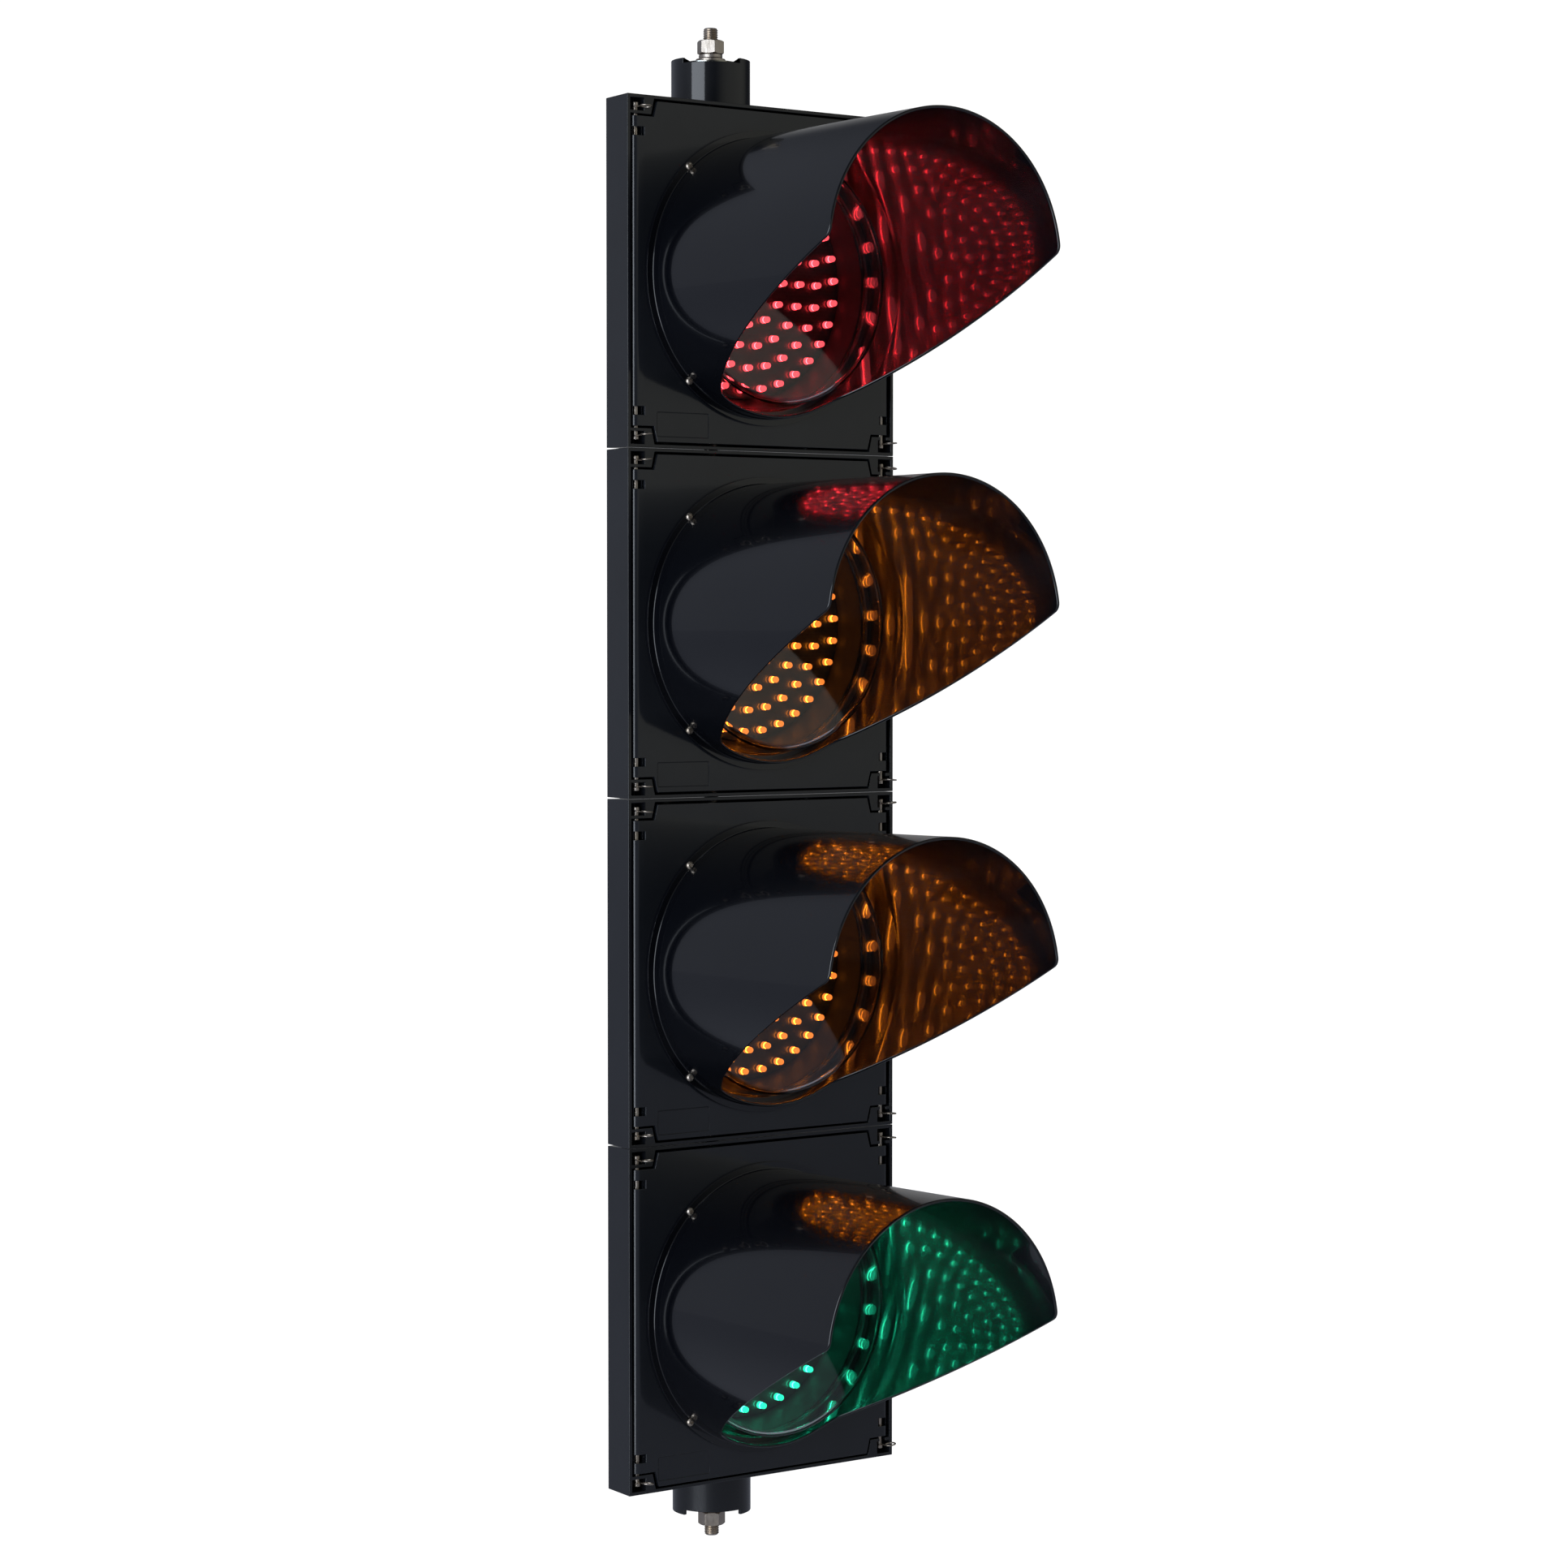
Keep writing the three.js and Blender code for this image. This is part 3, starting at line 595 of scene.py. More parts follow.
def visor_length(edge, y):
    """How far ahead the cut edge lies at a height."""
    for (y0, a0), (y1, a1) in zip(edge, edge[1:]):
        if y0 <= y <= y1:
            return a0 + (a1 - a0) * (y - y0) / max(y1 - y0, 1e-9)
    return edge[-1][1]


def hood_radius(ahead):
    return VISOR_RADII[0] + (VISOR_RADII[1] - VISOR_RADII[0]) / VISOR_LENGTH * ahead


def visor_profile(length):
    """Closed profile of (radius, ahead) for a visor that ends at this length."""
    fillet_end = FLANGE_FACE + VISOR_FILLET
    fillet_foot = hood_radius(fillet_end) + VISOR_FILLET
    back_edge, front_edge = FLANGE_EDGES
    profile = rounded([
        (hood_radius(0) - VISOR_WALL, FLANGE_BACK), (FLANGE_RADIUS, FLANGE_BACK, back_edge),
        (FLANGE_RADIUS, FLANGE_FACE, front_edge), (fillet_foot, FLANGE_FACE),
    ], 0, 4, False)
    profile += arc((fillet_foot, fillet_end), VISOR_FILLET, 270, 180, 8)[1:]
    lip = VISOR_WALL / 2
    mouth = length - lip
    steps = 12
    stations = [fillet_end + (mouth - fillet_end) * i / steps for i in range(1, steps + 1)]
    profile += [(hood_radius(s), s) for s in stations]
    profile += arc((hood_radius(mouth) - lip, mouth), lip, 20, 160, 7)
    profile += [(hood_radius(s) - VISOR_WALL, s) for s in reversed(stations)]
    return profile


def visor():
    steps = 480
    edge = visor_edge()
    verts = []
    for i in range(steps):
        angle = 2 * math.pi * i / steps
        length = visor_length(edge, VISOR_RADII[1] * math.sin(angle))
        profile = visor_profile(length)
        verts += [spun(r, angle, z) for r, z in profile]
    return smooth(mesh_object("visor_master", verts, skin(steps, len(profile), True)), 50)


def visor_screw():
    """Pan head with a cross recess, its underside at z = 0."""
    r, h = SCREW["radius"], SCREW["height"]
    dome = rounded([(r, 0), (r, h * 0.45, 0.5), (r * 0.62, h, 1.6), (0, h)], 0, 5, False)
    head = turned("screw_master", [(0, 0), *dome], 48)
    arm, half = r * SCREW_CROSS["arm"], SCREW_CROSS["half_width"]
    cross = [(arm, half), (half, half), (half, arm)]
    outline = []
    for quarter in range(4):
        turn = Matrix.Rotation(quarter * math.pi / 2, 2)
        outline += [tuple(turn @ Vector(p)) for p in cross]
    return soften(cut(head, prism("tool", outline, h - SCREW_CROSS["depth"], h + PAST)), 0.08)


# ---- Lamp unit ----
def lens():
    """Clear cup with a flat face and a rounded shoulder, its flange behind the door."""
    face, radius, wall, shoulder = LENS["face"], LENS["radius"], LENS["wall"], LENS["shoulder"]
    back, seat = -DOOR_THICKNESS - FIT_GAP, -UNIT_SEAT + FIT_GAP / 2
    profile = rounded([
        (0, face), (radius, face, shoulder), (LENS["base"], back, 1.2),
        (LENS["flange"], back), (LENS["flange"], seat), (LENS["base"] - wall, seat),
        (radius - wall, face - wall, shoulder - 2), (0, face - wall),
    ], 0.4, 10, False)
    return smooth(turned("lens_master", profile, 192), 50)


def board():
    radius = BOARD["radius"]
    front, back = -BOARD["depth"], -BOARD["depth"] - BOARD["thickness"]
    profile = rounded([(0, front), (radius, front), (radius, back), (0, back)], 0.3, 3, False)
    return smooth(turned("board_master", profile, 128))


def led_places():
    """Centres of the LEDs: one in the middle, and rings of 6, 12 and so on round it."""
    yield 0.0, 0.0
    for ring in range(1, LED["rings"] + 1):
        count = 6 * ring
        start = math.radians(LED["outer_ring_turn"]) if ring == LED["rings"] else 0
        for i in range(count):
            angle = start + 2 * math.pi * i / count
            yield ring * LED["pitch"] * math.cos(angle), ring * LED["pitch"] * math.sin(angle)


def led_array():
    """Every LED of a board in one mesh, with how far along its length each point lies."""
    r, base, foot, tip = LED["radius"], LED["base"], -BOARD["depth"], -LED["tip"]
    rim = foot + LED["rim"]
    profile = [(base, foot + 0.05), (base, rim), (r, rim + 0.1), (r, tip - r)]
    profile += arc((0, tip - r), r, 0, 90, 6)[1:-1]
    sides = 14
    verts, faces, glow = [], [], []
    for x, y in led_places():
        first = len(verts)
        for radius, z in profile:
            for k in range(sides):
                angle = 2 * math.pi * k / sides
                verts.append((x + radius * math.cos(angle), y + radius * math.sin(angle), z))
                glow.append((z - foot) / (tip - foot))
        verts.append((x, y, tip))
        glow.append(1.0)
        faces += skin(len(profile), sides, False, first)
        last = first + (len(profile) - 1) * sides
        faces += [[last + k, last + (k + 1) % sides, len(verts) - 1] for k in range(sides)]
        faces.append([first + k for k in reversed(range(sides))])
    obj = mesh_object("led_master", verts, faces)
    along = obj.data.attributes.new("glow", "FLOAT", "POINT")
    along.data.foreach_set("value", glow)
    return smooth(obj, 40)


def lamp_cup():
    """Rear cup of the lamp unit, with a ledge that carries the board."""
    wall, mouth, flange = SHELL["wall"], LENS["base"] - LENS["wall"], SHELL["flange"]
    seat = -UNIT_SEAT - FIT_GAP / 2
    ledge = -BOARD["depth"] - BOARD["thickness"] - FIT_GAP
    back = -SHELL["depth"]
    profile = rounded([
        (0, back), (SHELL["back"], back, 6), (BOARD["radius"] + wall + 1, ledge - wall, 6),
        (mouth + wall, -SKIRT["depth"], 1), (flange, -SKIRT["depth"]), (flange, seat), (mouth, seat),
        (BOARD["radius"] + FIT_GAP, ledge, 0.2), (BOARD["radius"] - SHELL["ledge"], ledge, 0.4),
        (SHELL["back"] - wall, back + wall, 5), (0, back + wall),
    ], 0.5, 6, False)
    return smooth(turned("cup_master", profile, 128), 45)


# ---- Rods, clips and end hardware ----
def edge_rod(number, kind):
    """Rod in the rolled edge, with a head and a neck at each end for its ring clip."""
    low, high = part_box(f"{kind}_rod_{number}")
    half = (high.z - low.z) / 2 / MM
    head, cone = ROD_HEAD["radius"], ROD_HEAD["cone"]
    neck = half - ROD_HEAD["height"]
    upper = rounded([
        (ROD_RADIUS, neck - cone - ROD_HEAD["neck"]), (ROD_RADIUS, neck - cone),
        (head, neck), (head, half, 0.5), (0, half),
    ], 0.2, 3, False)
    profile = [*upper, *[(r, -z) for r, z in reversed(upper)]]
    obj = turned("rod", profile[::-1], 32)
    along_y = Matrix.Rotation(-math.pi / 2, 4, "X")
    obj.data.transform(Matrix.Translation((SIDES[kind] * ROD_X, 0, -BEAD_RADIUS)) @ along_y)
    return smooth(obj, 40)


def ring_clip():
    """Wire ring clip about its shank, which runs along z through the rod at the origin."""
    loop, offset, ahead = CLIP["loop"], CLIP["offset"], CLIP["ahead"]
    start = 180 + math.degrees(math.acos(offset / loop))
    ring = arc((offset, ahead), loop, start, start + CLIP["turn"], 44)
    shank = ring[0][1] + CLIP["tail"]
    path = [(0, 0, shank * share - CLIP["tail"]) for share in (0, 0.03, 0.2, 0.4, 0.6, 0.8)]
    for i, (x, z) in enumerate(ring):
        path.append((x, CLIP["lift"] * i / len(ring), z))
    return smooth(tube("clip_master", path, CLIP["wire"], 12))


def thread_radius(z, share, length):
    """Radius of the tie rod at a height, at a share of the way round."""
    from_end = min(z, length - z)
    phase = (z / THREAD["pitch"] - share) % 1
    plain = from_end >= THREAD["length"] - 1
    groove = THREAD["depth"] * (0.5 if plain else 1 - abs(2 * phase - 1))
    return min(THREAD["radius"] - groove, THREAD["radius"] - THREAD["chamfer"] + from_end)


def threaded_rod():
    """The tie rod: plain in the middle, with a real helical thread at each end."""
    low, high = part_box("tie_rod")
    length = (high.z - low.z) / MM
    sides, per_pitch = 40, 8
    step = THREAD["pitch"] / per_pitch
    rows = int(THREAD["length"] / step)
    heights = [i * step for i in range(rows)]
    heights += [THREAD["length"], length - THREAD["length"]]
    heights += [length - h for h in reversed(heights[:rows])]
    verts = []
    for z in heights:
        for k in range(sides):
            verts.append(spun(thread_radius(z, k / sides, length), 2 * math.pi * k / sides, z))
    faces = skin(len(heights), sides) + caps(sides, len(verts))
    return smooth(mesh_object("tie_rod", verts, faces), 60)


def hex_nut(height):
    """Hexagon nut with both faces chamfered round."""
    corner = NUT["across"] / math.sqrt(3)
    face = NUT["across"] / 2 - NUT["chamfer"]
    slope = (corner - face) * math.tan(math.radians(NUT["chamfer_angle"]))
    nut = prism("nut", circle((0, 0), corner, 6), 0, height)
    lathe = [(0, 0), (face, 0), (corner, slope), (corner, height - slope), (face, height), (0, height)]
    boolean(nut, "INTERSECT", [turned("tool", lathe, 96)])
    hole, lead_in = THREAD["radius"] + FIT_GAP, NUT["lead_in"]
    mouth = hole + lead_in + PAST
    bore = turned("tool", [
        (0, -PAST), (mouth, -PAST), (hole, lead_in),
        (hole, height - lead_in), (mouth, height + PAST), (0, height + PAST),
    ], 64)
    return soften(cut(nut, bore), 0.18)


def washer(outer, height, edge):
    inner = THREAD["radius"] + FIT_GAP
    profile = rounded([(inner, 0), (outer, 0), (outer, height), (inner, height)], edge, 3)
    return smooth(turned("washer", profile, 96), 60)


def spring_washer(outer, height):
    """One turn of square wire, its ends a little apart."""
    inner = THREAD["radius"] + SPRING["clearance"]
    rise, gap = SPRING["rise"], SPRING["gap"]
    thick = height - rise
    section = rounded([(inner, 0), (outer, 0), (outer, thick), (inner, thick)], SPRING["edge"], 2)
    steps = 72
    verts = []
    for i in range(steps + 1):
        angle = math.radians(gap + (360 - 2 * gap) * i / steps)
        lift = rise * i / steps
        verts += [spun(r, angle, z + lift) for r, z in section]
    faces = skin(steps + 1, len(section)) + caps(len(section), len(verts))
    return smooth(mesh_object("spring_washer", verts, faces), 40)


# ---- Terminal block ----
def terminal_block():
    """Grey block with a wire entry and a screw well for each way, in metres in the CAD frame."""
    low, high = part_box("terminal_block")
    size = (high - low) / MM
    body = block("terminal_strip", (0, size.x), (0, size.y), (0, size.z))
    step = size.x / TERMINAL["ways"]
    wire, groove = WIRE_ENTRY["half_width"], TERMINAL["groove"]
    tools = []
    for i in range(TERMINAL["ways"]):
        x = (i + 0.5) * step
        entry = (-PAST, WIRE_ENTRY["depth"])
        tools.append(block("tool", (x - wire, x + wire), entry, (WIRE_ENTRY["low"], WIRE_ENTRY["high"])))
        well = drill(SCREW_WELL["radius"], size.z - SCREW_WELL["depth"], size.z + PAST, 24)
        well.data.transform(Matrix.Translation((x, size.y / 2 + TERMINAL["step_back"], 0)))
        tools.append(well)
        if i:
            sides = (i * step - groove, i * step + groove)
            top = (size.z - TERMINAL["groove_depth"], size.z + PAST)
            tools.append(block("tool", sides, (-PAST, size.y + PAST), top))
    cut(body, *tools)
    body.data.transform(Matrix.Translation(low) @ Matrix.Scale(MM, 4))
    return soften(body, 0.3 * MM)


def terminal_screw():
    """Slotted screw head, its underside at z = 0."""
    radius, height, slot = (TERMINAL_SCREW[k] for k in ("radius", "height", "slot"))
    profile = rounded([(0, 0), (radius, 0), (radius, height), (0, height)], 0.3, 3, False)
    head = turned("terminal_screw_master", profile, 32)
    deep = (TERMINAL_SCREW["slot_floor"], height + PAST)
    return soften(cut(head, block("tool", (-2 * radius, 2 * radius), (-slot, slot), deep)), 0.06)


# ---- Materials ----
def set_inputs(node, values):
    for socket, value in values.items():
        node.inputs[socket].default_value = value


class Paint:
    """A procedural material with one Principled shader, patterned in the piece's own space."""

    def __init__(self, name, **values):
        self.material = bpy.data.materials.new(name)
        self.material.use_nodes = True
        self.tree = self.material.node_tree
        self.shader = self.tree.nodes["Principled BSDF"]
        self.place = self.node("ShaderNodeTexCoord").outputs["Object"]
        set_inputs(self.shader, {socket.replace("_", " "): v for socket, v in values.items()})

    def node(self, kind, inputs=None, **settings):
        made = self.tree.nodes.new(kind)
        for key, value in settings.items():
            setattr(made, key, value)
        set_inputs(made, inputs or {})
        return made

    def link(self, source, socket):
        self.tree.links.new(source, self.shader.inputs[socket])

    def noise(self, scale, detail=2.0, stretch=(1, 1, 1)):
        """Cloudy pattern with about scale blobs in a metre."""
        sizes = self.node("ShaderNodeMapping", {"Scale": stretch})
        self.tree.links.new(self.place, sizes.inputs["Vector"])
        cloud = self.node("ShaderNodeTexNoise", {"Scale": scale, "Detail": detail})
        self.tree.links.new(sizes.outputs["Vector"], cloud.inputs["Vector"])
        return cloud.outputs["Fac"]

    def ramp(self, source, *stops):
        """Colours along a pattern, as (position, red, green, blue)."""
        made = self.node("ShaderNodeValToRGB")
        elements = made.color_ramp.elements
        while len(elements) < len(stops):
            elements.new(0.5)
        for element, (position, *colour) in zip(elements, stops):
            element.position = position
            element.color = (*colour, 1)
        self.tree.links.new(source, made.inputs["Fac"])
        return made.outputs["Color"]

    def span(self, source, low, high):
        """The middle of a pattern stretched to run from low to high."""
        limits = {"From Min": 0.3, "From Max": 0.7, "To Min": low, "To Max": high}
        made = self.node("ShaderNodeMapRange", limits)
        self.tree.links.new(source, made.inputs["Value"])
        return made.outputs["Result"]

    def bump(self, source, distance, strength=1.0, under=None):
        made = self.node("ShaderNodeBump", {"Distance": distance, "Strength": strength})
        self.tree.links.new(source, made.inputs["Height"])
        if under:
            self.tree.links.new(under, made.inputs["Normal"])
        return made.outputs["Normal"]


def moulded_plastic(name, dark, light, roughness, gloss):
    """Black injection-moulded plastic: cloudy tone, fine grain and a glossy skin."""
    paint = Paint(
        name, IOR=1.5, Specular_IOR_Level=0.2, Coat_Weight=1.0, Coat_Roughness=gloss, Coat_IOR=1.5)
    paint.link(paint.ramp(paint.noise(14, 4), (0.3, *dark), (0.7, *light)), "Base Color")
    paint.link(paint.span(paint.noise(35, 5), roughness - 0.05, roughness + 0.05), "Roughness")
    grain = paint.bump(paint.noise(1800, 2), 0.00004, 0.35)
    waves = paint.bump(paint.noise(22, 1), 0.00025, 0.5, grain)
    paint.link(waves, "Normal")
    paint.link(waves, "Coat Normal")
    return paint.material


def visor_plastic():
    """Glossy black with a turned grain: reflections smear round the hood, under a mirror skin."""
    paint = Paint(
        "visor_plastic", IOR=1.5, Anisotropic=0.9, Coat_Weight=0.5, Coat_Roughness=0.015, Coat_IOR=1.5)
    tone = paint.ramp(paint.noise(12, 4), (0.3, 0.003, 0.0035, 0.0055), (0.7, 0.004, 0.0047, 0.007))
    paint.link(tone, "Base Color")
    paint.link(paint.span(paint.noise(30, 4), 0.14, 0.17), "Roughness")
    turning = paint.node("ShaderNodeTangent", direction_type="RADIAL", axis="Y")
    paint.link(turning.outputs["Tangent"], "Tangent")
    waves = paint.bump(paint.noise(14, 1, (1, 0.5, 1)), 0.0002, 0.4)
    paint.link(waves, "Normal")
    paint.link(waves, "Coat Normal")
    return paint.material


def clear_plastic():
    """Clear lens moulding, very slightly smoked, with faint flow waves."""
    paint = Paint("lens_clear", IOR=1.52, Transmission_Weight=1.0)
    tone = paint.ramp(paint.noise(18, 3), (0.3, 0.86, 0.84, 0.84), (0.7, 0.92, 0.9, 0.9))
    paint.link(tone, "Base Color")
    paint.link(paint.span(paint.noise(50, 4), 0.0, 0.012), "Roughness")
    paint.link(paint.bump(paint.noise(20, 1), 0.0001, 0.25), "Normal")
    return paint.material


def led_glow(colour, rim, body, spot, strength):
    """Lit LED epoxy: a bright band part way up a dim coloured body, darker at the foot."""
    paint = Paint(f"led_{colour}", Roughness=0.12, IOR=1.5, Emission_Strength=strength)
    along = paint.node("ShaderNodeAttribute", attribute_name="glow").outputs["Fac"]
    stops = ((0.0, *rim), (0.12, *body), (0.34, *body), (0.39, *spot), (0.46, *spot), (0.52, *body))
    paint.link(paint.ramp(along, *stops), "Emission Color")
    paint.link(paint.ramp(along, (0.0, *rim), (1.0, *body)), "Base Color")
    return paint.material


def circuit_board():
    """Black solder resist over faint square tracks."""
    paint = Paint("circuit_board", Specular_IOR_Level=0.2, Coat_Weight=0.3, Coat_Roughness=0.08)
    tracks = paint.node("ShaderNodeTexBrick", {
        "Scale": 90, "Mortar Size": 0.06, "Mortar Smooth": 0.2, "Color1": (0.003, 0.004, 0.004, 1),
        "Color2": (0.005, 0.006, 0.006, 1), "Mortar": (0.008, 0.01, 0.009, 1),
    })
    flat = paint.node("ShaderNodeMapping", {"Rotation": (math.radians(90), 0, 0)})
    paint.tree.links.new(paint.place, flat.inputs["Vector"])
    paint.tree.links.new(flat.outputs["Vector"], tracks.inputs["Vector"])
    paint.link(tracks.outputs["Color"], "Base Color")
    paint.link(paint.span(paint.noise(60, 3), 0.35, 0.5), "Roughness")
    paint.link(paint.bump(tracks.outputs["Fac"], 0.00005, 0.4), "Normal")
    return paint.material


def metal(name, dark, light, roughness, stretch, tint_scale=60):
    """Bright metal with fine drawn lines and a cloudy tint."""
    paint = Paint(name, Metallic=1.0)
    paint.link(paint.ramp(paint.noise(tint_scale, 4), (0.35, *dark), (0.65, *light)), "Base Color")
    paint.link(paint.span(paint.noise(700, 3, stretch), roughness * 0.7, roughness * 1.3), "Roughness")
    paint.link(paint.bump(paint.noise(1600, 2, stretch), 0.00001, 0.3), "Normal")
    return paint.material


def dull(name, dark, light, roughness, grain):
    """Matt moulding or rubber."""
    paint = Paint(name, IOR=1.48, Specular_IOR_Level=0.15)
    paint.link(paint.ramp(paint.noise(25, 4), (0.3, *dark), (0.7, *light)), "Base Color")
    paint.link(paint.span(paint.noise(90, 3), roughness - 0.08, roughness + 0.08), "Roughness")
    paint.link(paint.bump(paint.noise(grain, 2), 0.00008, 0.5), "Normal")
    return paint.material


PAINTS = {
    "housing_plastic": moulded_plastic(
        "housing_plastic", (0.007, 0.008, 0.0105), (0.0095, 0.011, 0.0145), 0.38, 0.05),
    "door_plastic": moulded_plastic(
        "door_plastic", (0.0105, 0.012, 0.0155), (0.014, 0.016, 0.0205), 0.33, 0.07),
    "visor_plastic": visor_plastic(),
    "lens_clear": clear_plastic(),
    "circuit_board": circuit_board(),
    "lamp_shell_plastic": dull(
        "lamp_shell_plastic", (0.002, 0.002, 0.0022), (0.0035, 0.0035, 0.0038), 0.5, 1500),
    "stainless": metal("stainless", (0.54, 0.46, 0.37), (0.69, 0.62, 0.55), 0.38, (1, 1, 0.15)),
    "zinc_plate": metal("zinc_plate", (0.5, 0.47, 0.38), (0.56, 0.6, 0.58), 0.22, (1, 1, 1), 90),
    "terminal_plastic": dull("terminal_plastic", (0.40, 0.41, 0.40), (0.47, 0.48, 0.47), 0.5, 900),
    "gasket_rubber": dull("gasket_rubber", (0.010, 0.010, 0.011), (0.017, 0.017, 0.018), 0.75, 600),
    "led_red": led_glow("red", (0.012, 0.0, 0.0002), (0.045, 0.0036, 0.0045), (1.0, 0.024, 0.032), 42),
    "led_amber": led_glow("amber", (0.012, 0.002, 0.0), (0.045, 0.0105, 0.0014), (1.0, 0.27, 0.012), 32),
    "led_green": led_glow("green", (0.0, 0.012, 0.006), (0.0008, 0.045, 0.023), (0.03, 1.0, 0.52), 38),
}


# ---- Pieces ----
def add_piece(obj, name, slot, body, *nodes):
    obj.name = name
    obj.data.name = name
    obj.data.materials.clear()
    obj.data.materials.append(PAINTS[slot])
    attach(obj, body)
    if nodes:
        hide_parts(*nodes)
    return obj


def slot_of(node):
    rows = frame["record"]["subparts"]
    return next(row["material_slot"] for row in rows if row["node"] == node)


def stand_in(obj, node, name):
    """A finished piece shown in place of a CAD node, on that node's body."""
    return add_piece(obj, name, slot_of(node), frame["nodes"][node]["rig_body"], node)


def add_screws(number, master):
    turn = SCREW_TURNS["section"] * number
    for place, (sx, sy) in CORNERS.items():
        turn += SCREW_TURNS["next"]
        seat = Matrix.Translation((sx * SCREW["x"], sy * SCREW["y"], SCREW["seat"]))
        spin = Matrix.Rotation(math.radians(turn), 4, "Z")
        screw = placed_copy(master, "screw", lamp_frame(number) @ seat @ spin)
        add_piece(screw, f"visor_screw_{number}_{place}", "stainless", f"door_{number}")


def add_clips(number, kind, master):
    to_frame = lamp_frame(number)
    for end, degrees in zip(("top", "bottom"), CLIP_TILTS[kind][number - 1]):
        node = f"{kind}_clip_{number}_{end}"
        low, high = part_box(node)
        middle = to_frame.inverted() @ ((low + high) / 2)
        tilt = math.radians(degrees)
        shank_height = middle.y + CLIP["offset"] * math.sin(tilt)
        seat = Matrix.Translation((SIDES[kind] * ROD_X, shank_height, -BEAD_RADIUS))
        clip = placed_copy(master, node, to_frame @ seat @ Matrix.Rotation(-tilt, 4, "Z"))
        stand_in(clip, node, f"ring_{node}")


def add_section(number, masters):
    """One housing with its door and everything on it."""
    to_frame = lamp_frame(number)
    body = f"door_{number}"
    case = {SECTIONS[0]: "housing_top", SECTIONS[-1]: "housing_bottom"}.get(number, "housing")
    parts = {
        f"housing_{number}": (case, "housing_case"),
        f"door_{number}": ("door", "door_leaf"),
        f"visor_{number}": ("visor", "visor_hood"),
        f"lens_{number}": ("lens", "lens_cup"),
        f"led_board_{number}": ("board", "led_carrier"),
        f"lamp_shell_{number}": ("cup", "lamp_cup"),
    }
    for node, (master, name) in parts.items():
        stand_in(placed_copy(masters[master], name, to_frame), node, f"{name}_{number}")
    bpy.data.objects[f"lens_cup_{number}"].visible_shadow = False
    for kind in SIDES:
        pin = edge_rod(number, kind)
        pin.data.transform(to_frame)
        stand_in(pin, f"{kind}_rod_{number}", f"{kind}_pin_{number}")
    extras = {
        "leds": (f"leds_{number}", f"led_{LAMP_COLOURS[number]}"),
        "label": (f"blank_label_{number}", "door_plastic"),
        "seal": (f"door_seal_{number}", "gasket_rubber"),
    }
    for master, (name, slot) in extras.items():
        add_piece(placed_copy(masters[master], name, to_frame), name, slot, body)
    add_screws(number, masters["screw"])
    for kind in SIDES:
        add_clips(number, kind, masters["clip"])


def end_piece(kind, width, height):
    if kind == "clamp_nut":
        return hex_nut(height)
    if kind == "spring_washer":
        return spring_washer(width / 2, height)
    return washer(width / 2, height, WASHER_EDGES[kind])


def add_end_hardware(end):
    """Nut, washers and disc at one end, each in its CAD node's place."""
    spin = Matrix.Rotation(math.radians(NUT_TURN[end]), 4, "Z")
    for kind in ("clamp_nut", "spring_washer", "flat_washer", "spigot_disc"):
        node = f"{kind}_{end}"
        low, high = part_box(node)
        piece = end_piece(kind, (high.x - low.x) / MM, (high.z - low.z) / MM)
        piece.data.transform(end_frame(end, low.z if end == "top" else high.z) @ spin)
        stand_in(piece, node, f"m12_{kind}_{end}")


def add_terminals():
    stand_in(terminal_block(), "terminal_block", "terminal_strip")
    low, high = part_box("terminal_block")
    step = (high.x - low.x) / TERMINAL["ways"]
    y = (low.y + high.y) / 2 + TERMINAL["step_back"] * MM
    z = high.z - SCREW_WELL["screw_depth"] * MM
    master = terminal_screw()
    for i in range(TERMINAL["ways"]):
        place = Matrix.Translation((low.x + (i + 0.5) * step, y, z))
        spin = Matrix.Rotation(math.radians(25 + 50 * i), 4, "Z")
        screw = placed_copy(master, "screw", place @ spin @ Matrix.Scale(MM, 4))
        add_piece(screw, f"terminal_screw_{i + 1}", "zinc_plate", "root")
    bpy.data.objects.remove(master)


def build_object():
    masters = {
        "housing": housing(),
        "housing_top": housing("top"),
        "housing_bottom": housing("bottom"),
        "door": door(),
        "visor": visor(),
        "lens": lens(),
        "board": board(),
        "leds": led_array(),
        "cup": lamp_cup(),
        "label": label(),
        "seal": door_seal(),
        "screw": visor_screw(),
        "clip": ring_clip(),
    }
    for number in SECTIONS:
        add_section(number, masters)
    for master in masters.values():
        bpy.data.objects.remove(master)
    rod_piece = threaded_rod()
    rod_piece.data.transform(end_frame("top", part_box("tie_rod")[0].z))
    stand_in(rod_piece, "tie_rod", "threaded_tie_rod")
    for end in ("top", "bottom"):
        add_end_hardware(end)
    add_terminals()


# ---- Studio ----
def add_camera():
    camera = bpy.data.objects.new("camera", bpy.data.cameras.new("camera"))
    bpy.context.scene.collection.objects.link(camera)
    camera.data.lens = CAMERA["lens"]
    camera.data.sensor_width = CAMERA["sensor"]
    camera.location = CAMERA_PLACE
    camera.rotation_euler = (math.radians(CAMERA["tilt"]), 0, math.radians(CAMERA["turn"]))
    bpy.context.scene.camera = camera


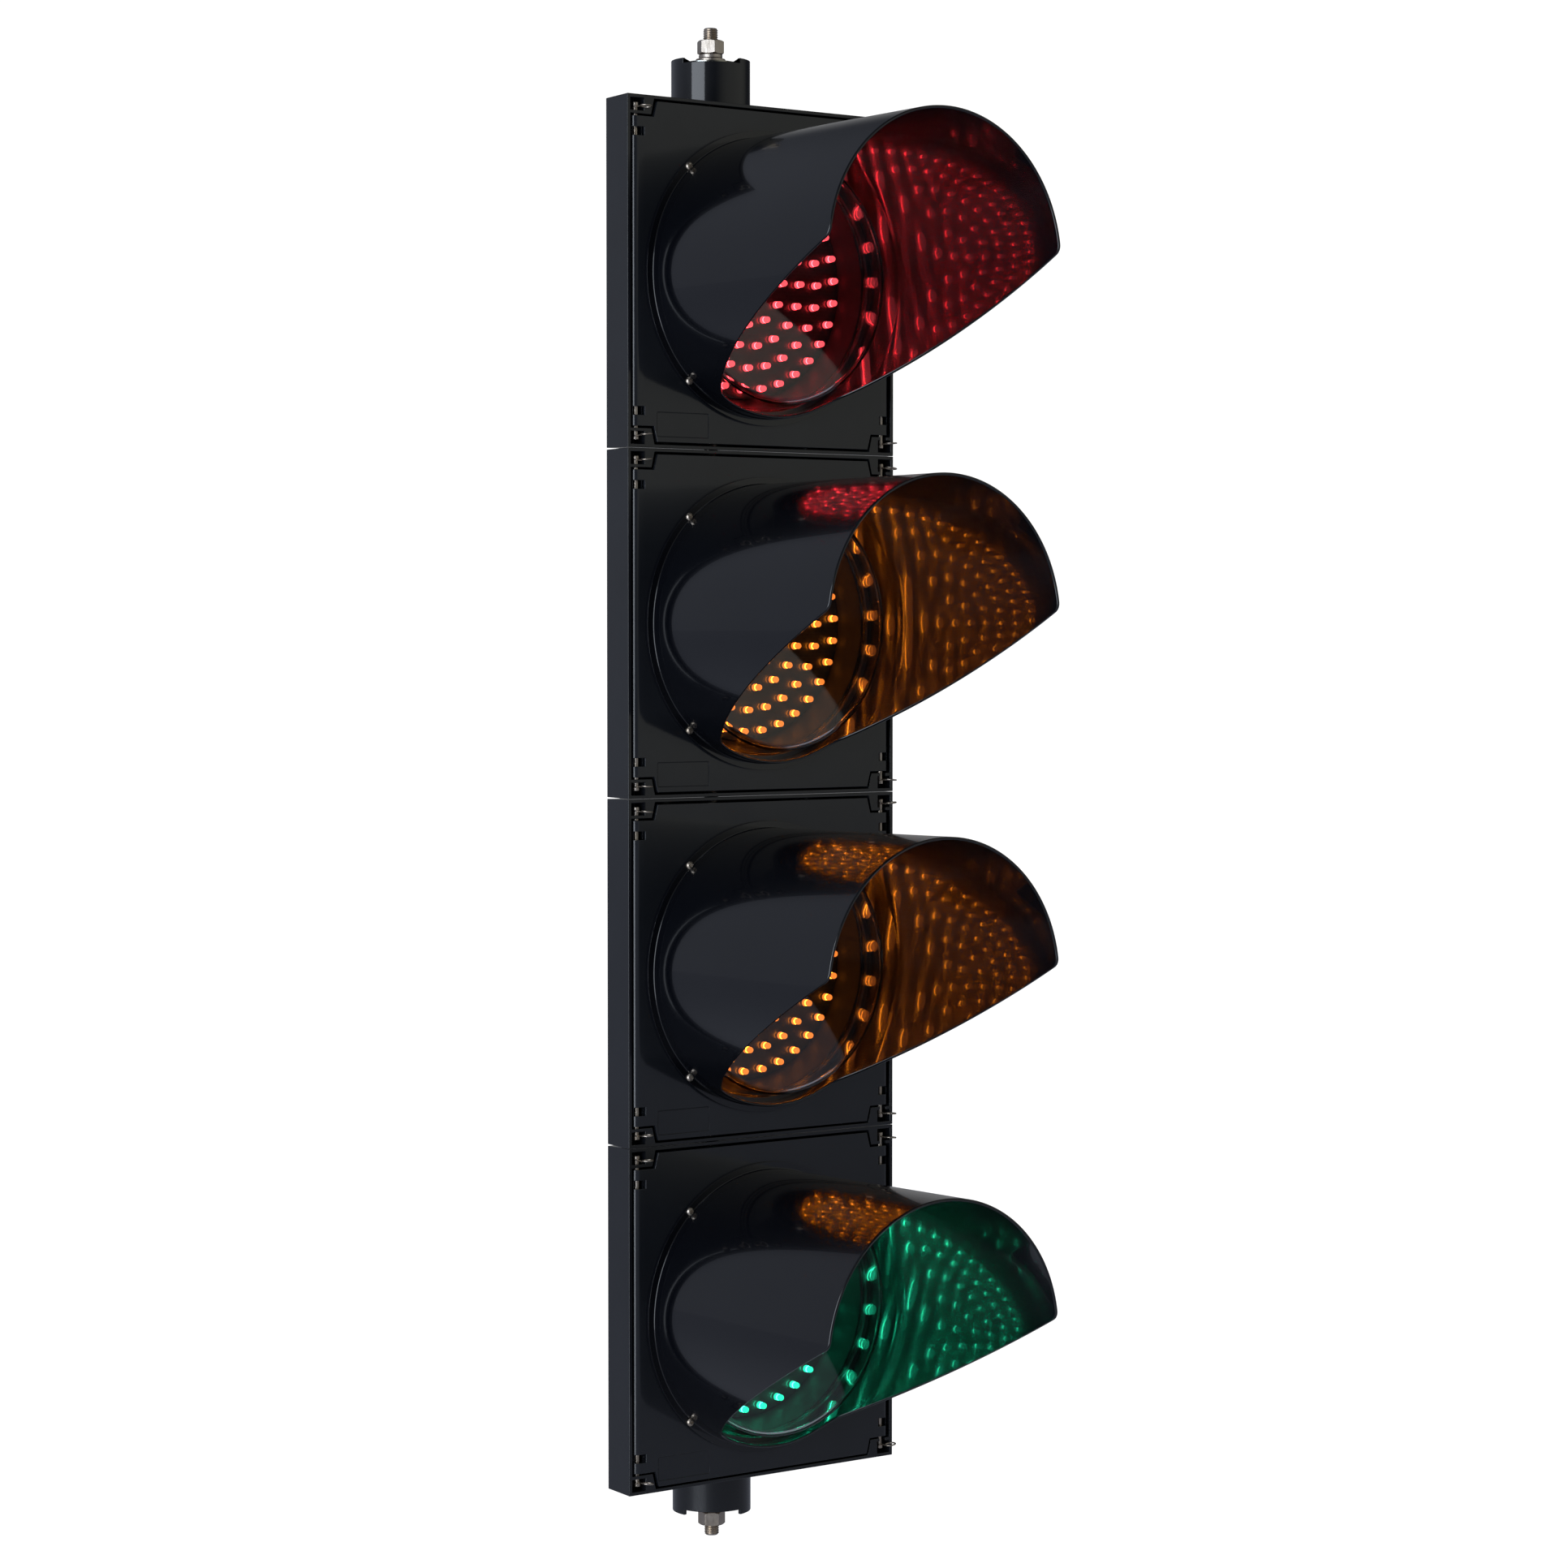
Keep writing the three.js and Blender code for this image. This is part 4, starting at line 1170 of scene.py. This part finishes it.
def add_softbox():
    """The one area light, upright and turned to the tie rod."""
    light = bpy.data.lights.new("softbox", "AREA")
    light.shape = "RECTANGLE"
    light.size, light.size_y = SOFTBOX["size"]
    light.energy = SOFTBOX["power"]
    light.color = SOFTBOX_COLOUR
    obj = bpy.data.objects.new("softbox", light)
    bpy.context.scene.collection.objects.link(obj)
    angle, distance = math.radians(SOFTBOX["bearing"]), SOFTBOX["distance"]
    obj.location = (-distance * math.sin(angle), -distance * math.cos(angle), SOFTBOX["height"])
    obj.rotation_euler = (math.radians(90), 0, -angle)
    obj.visible_camera = False


def seen_or_lit(tree, lit, seen):
    """Mixes what the camera sees directly with what lights and reflects in the object."""
    path = tree.nodes.new("ShaderNodeLightPath")
    mix = tree.nodes.new("ShaderNodeMixShader")
    tree.links.new(path.outputs["Is Camera Ray"], mix.inputs["Fac"])
    tree.links.new(lit, mix.inputs[1])
    tree.links.new(seen, mix.inputs[2])
    return mix.outputs["Shader"]


def add_floor():
    """Pale floor well below the hanging head."""
    radius, thickness = FLOOR["radius"], FLOOR["thickness"]
    floor = turned("floor", [(0, 0), (radius, 0), (radius, -thickness), (0, -thickness)], 64)
    floor.location.z = FLOOR["height"]
    paint = Paint("floor_pale", Roughness=0.8, Emission_Strength=1.0)
    paint.shader.inputs["Emission Color"].default_value = (*FLOOR_GLOW, 1)
    paint.link(paint.ramp(paint.noise(2, 3), (0.3, 0.2, 0.2, 0.2), (0.7, 0.22, 0.22, 0.22)), "Base Color")
    white = paint.node("ShaderNodeEmission", {"Strength": BACKDROP})
    shown = seen_or_lit(paint.tree, paint.shader.outputs["BSDF"], white.outputs["Emission"])
    paint.tree.links.new(shown, paint.tree.nodes["Material Output"].inputs["Surface"])
    floor.data.materials.append(paint.material)


def world_glow(tree, place, bearing, elevation, colour, spread):
    """A soft patch of light in one direction, fading out at spread degrees from it."""
    patch = tree.nodes.new("ShaderNodeBackground")
    patch.inputs["Color"].default_value = (*colour, 1)
    toward = tree.nodes.new("ShaderNodeVectorMath")
    toward.operation = "DOT_PRODUCT"
    bearing, elevation = math.radians(bearing), math.radians(elevation)
    level = math.cos(elevation)
    toward.inputs[1].default_value = (
        -level * math.sin(bearing), -level * math.cos(bearing), math.sin(elevation))
    tree.links.new(place, toward.inputs[0])
    fade = tree.nodes.new("ShaderNodeMapRange")
    fade.interpolation_type = "SMOOTHSTEP"
    fade.inputs["From Min"].default_value = math.cos(math.radians(spread))
    tree.links.new(toward.outputs["Value"], fade.inputs["Value"])
    tree.links.new(fade.outputs["Result"], patch.inputs["Strength"])
    return patch.outputs["Background"]


def add_world():
    """Dim studio with soft patches of light, and a white backdrop behind the object."""
    world = bpy.data.worlds.new("studio")
    bpy.context.scene.world = world
    world.use_nodes = True
    tree = world.node_tree
    dim = tree.nodes["Background"]
    dim.inputs["Color"].default_value = (*DIM_ROOM, 1)
    lit = dim.outputs["Background"]
    place = tree.nodes.new("ShaderNodeTexCoord").outputs["Generated"]
    for patch in ROOM_GLOWS:
        both = tree.nodes.new("ShaderNodeAddShader")
        tree.links.new(lit, both.inputs[0])
        tree.links.new(world_glow(tree, place, *patch), both.inputs[1])
        lit = both.outputs["Shader"]
    white = tree.nodes.new("ShaderNodeBackground")
    set_inputs(white, {"Color": (1, 1, 1, 1), "Strength": BACKDROP})
    shown = seen_or_lit(tree, lit, white.outputs["Background"])
    tree.links.new(shown, tree.nodes["World Output"].inputs["Surface"])


build_object()
add_camera()
add_world()
add_floor()
add_softbox()
bpy.context.scene.view_settings.view_transform = "Standard"
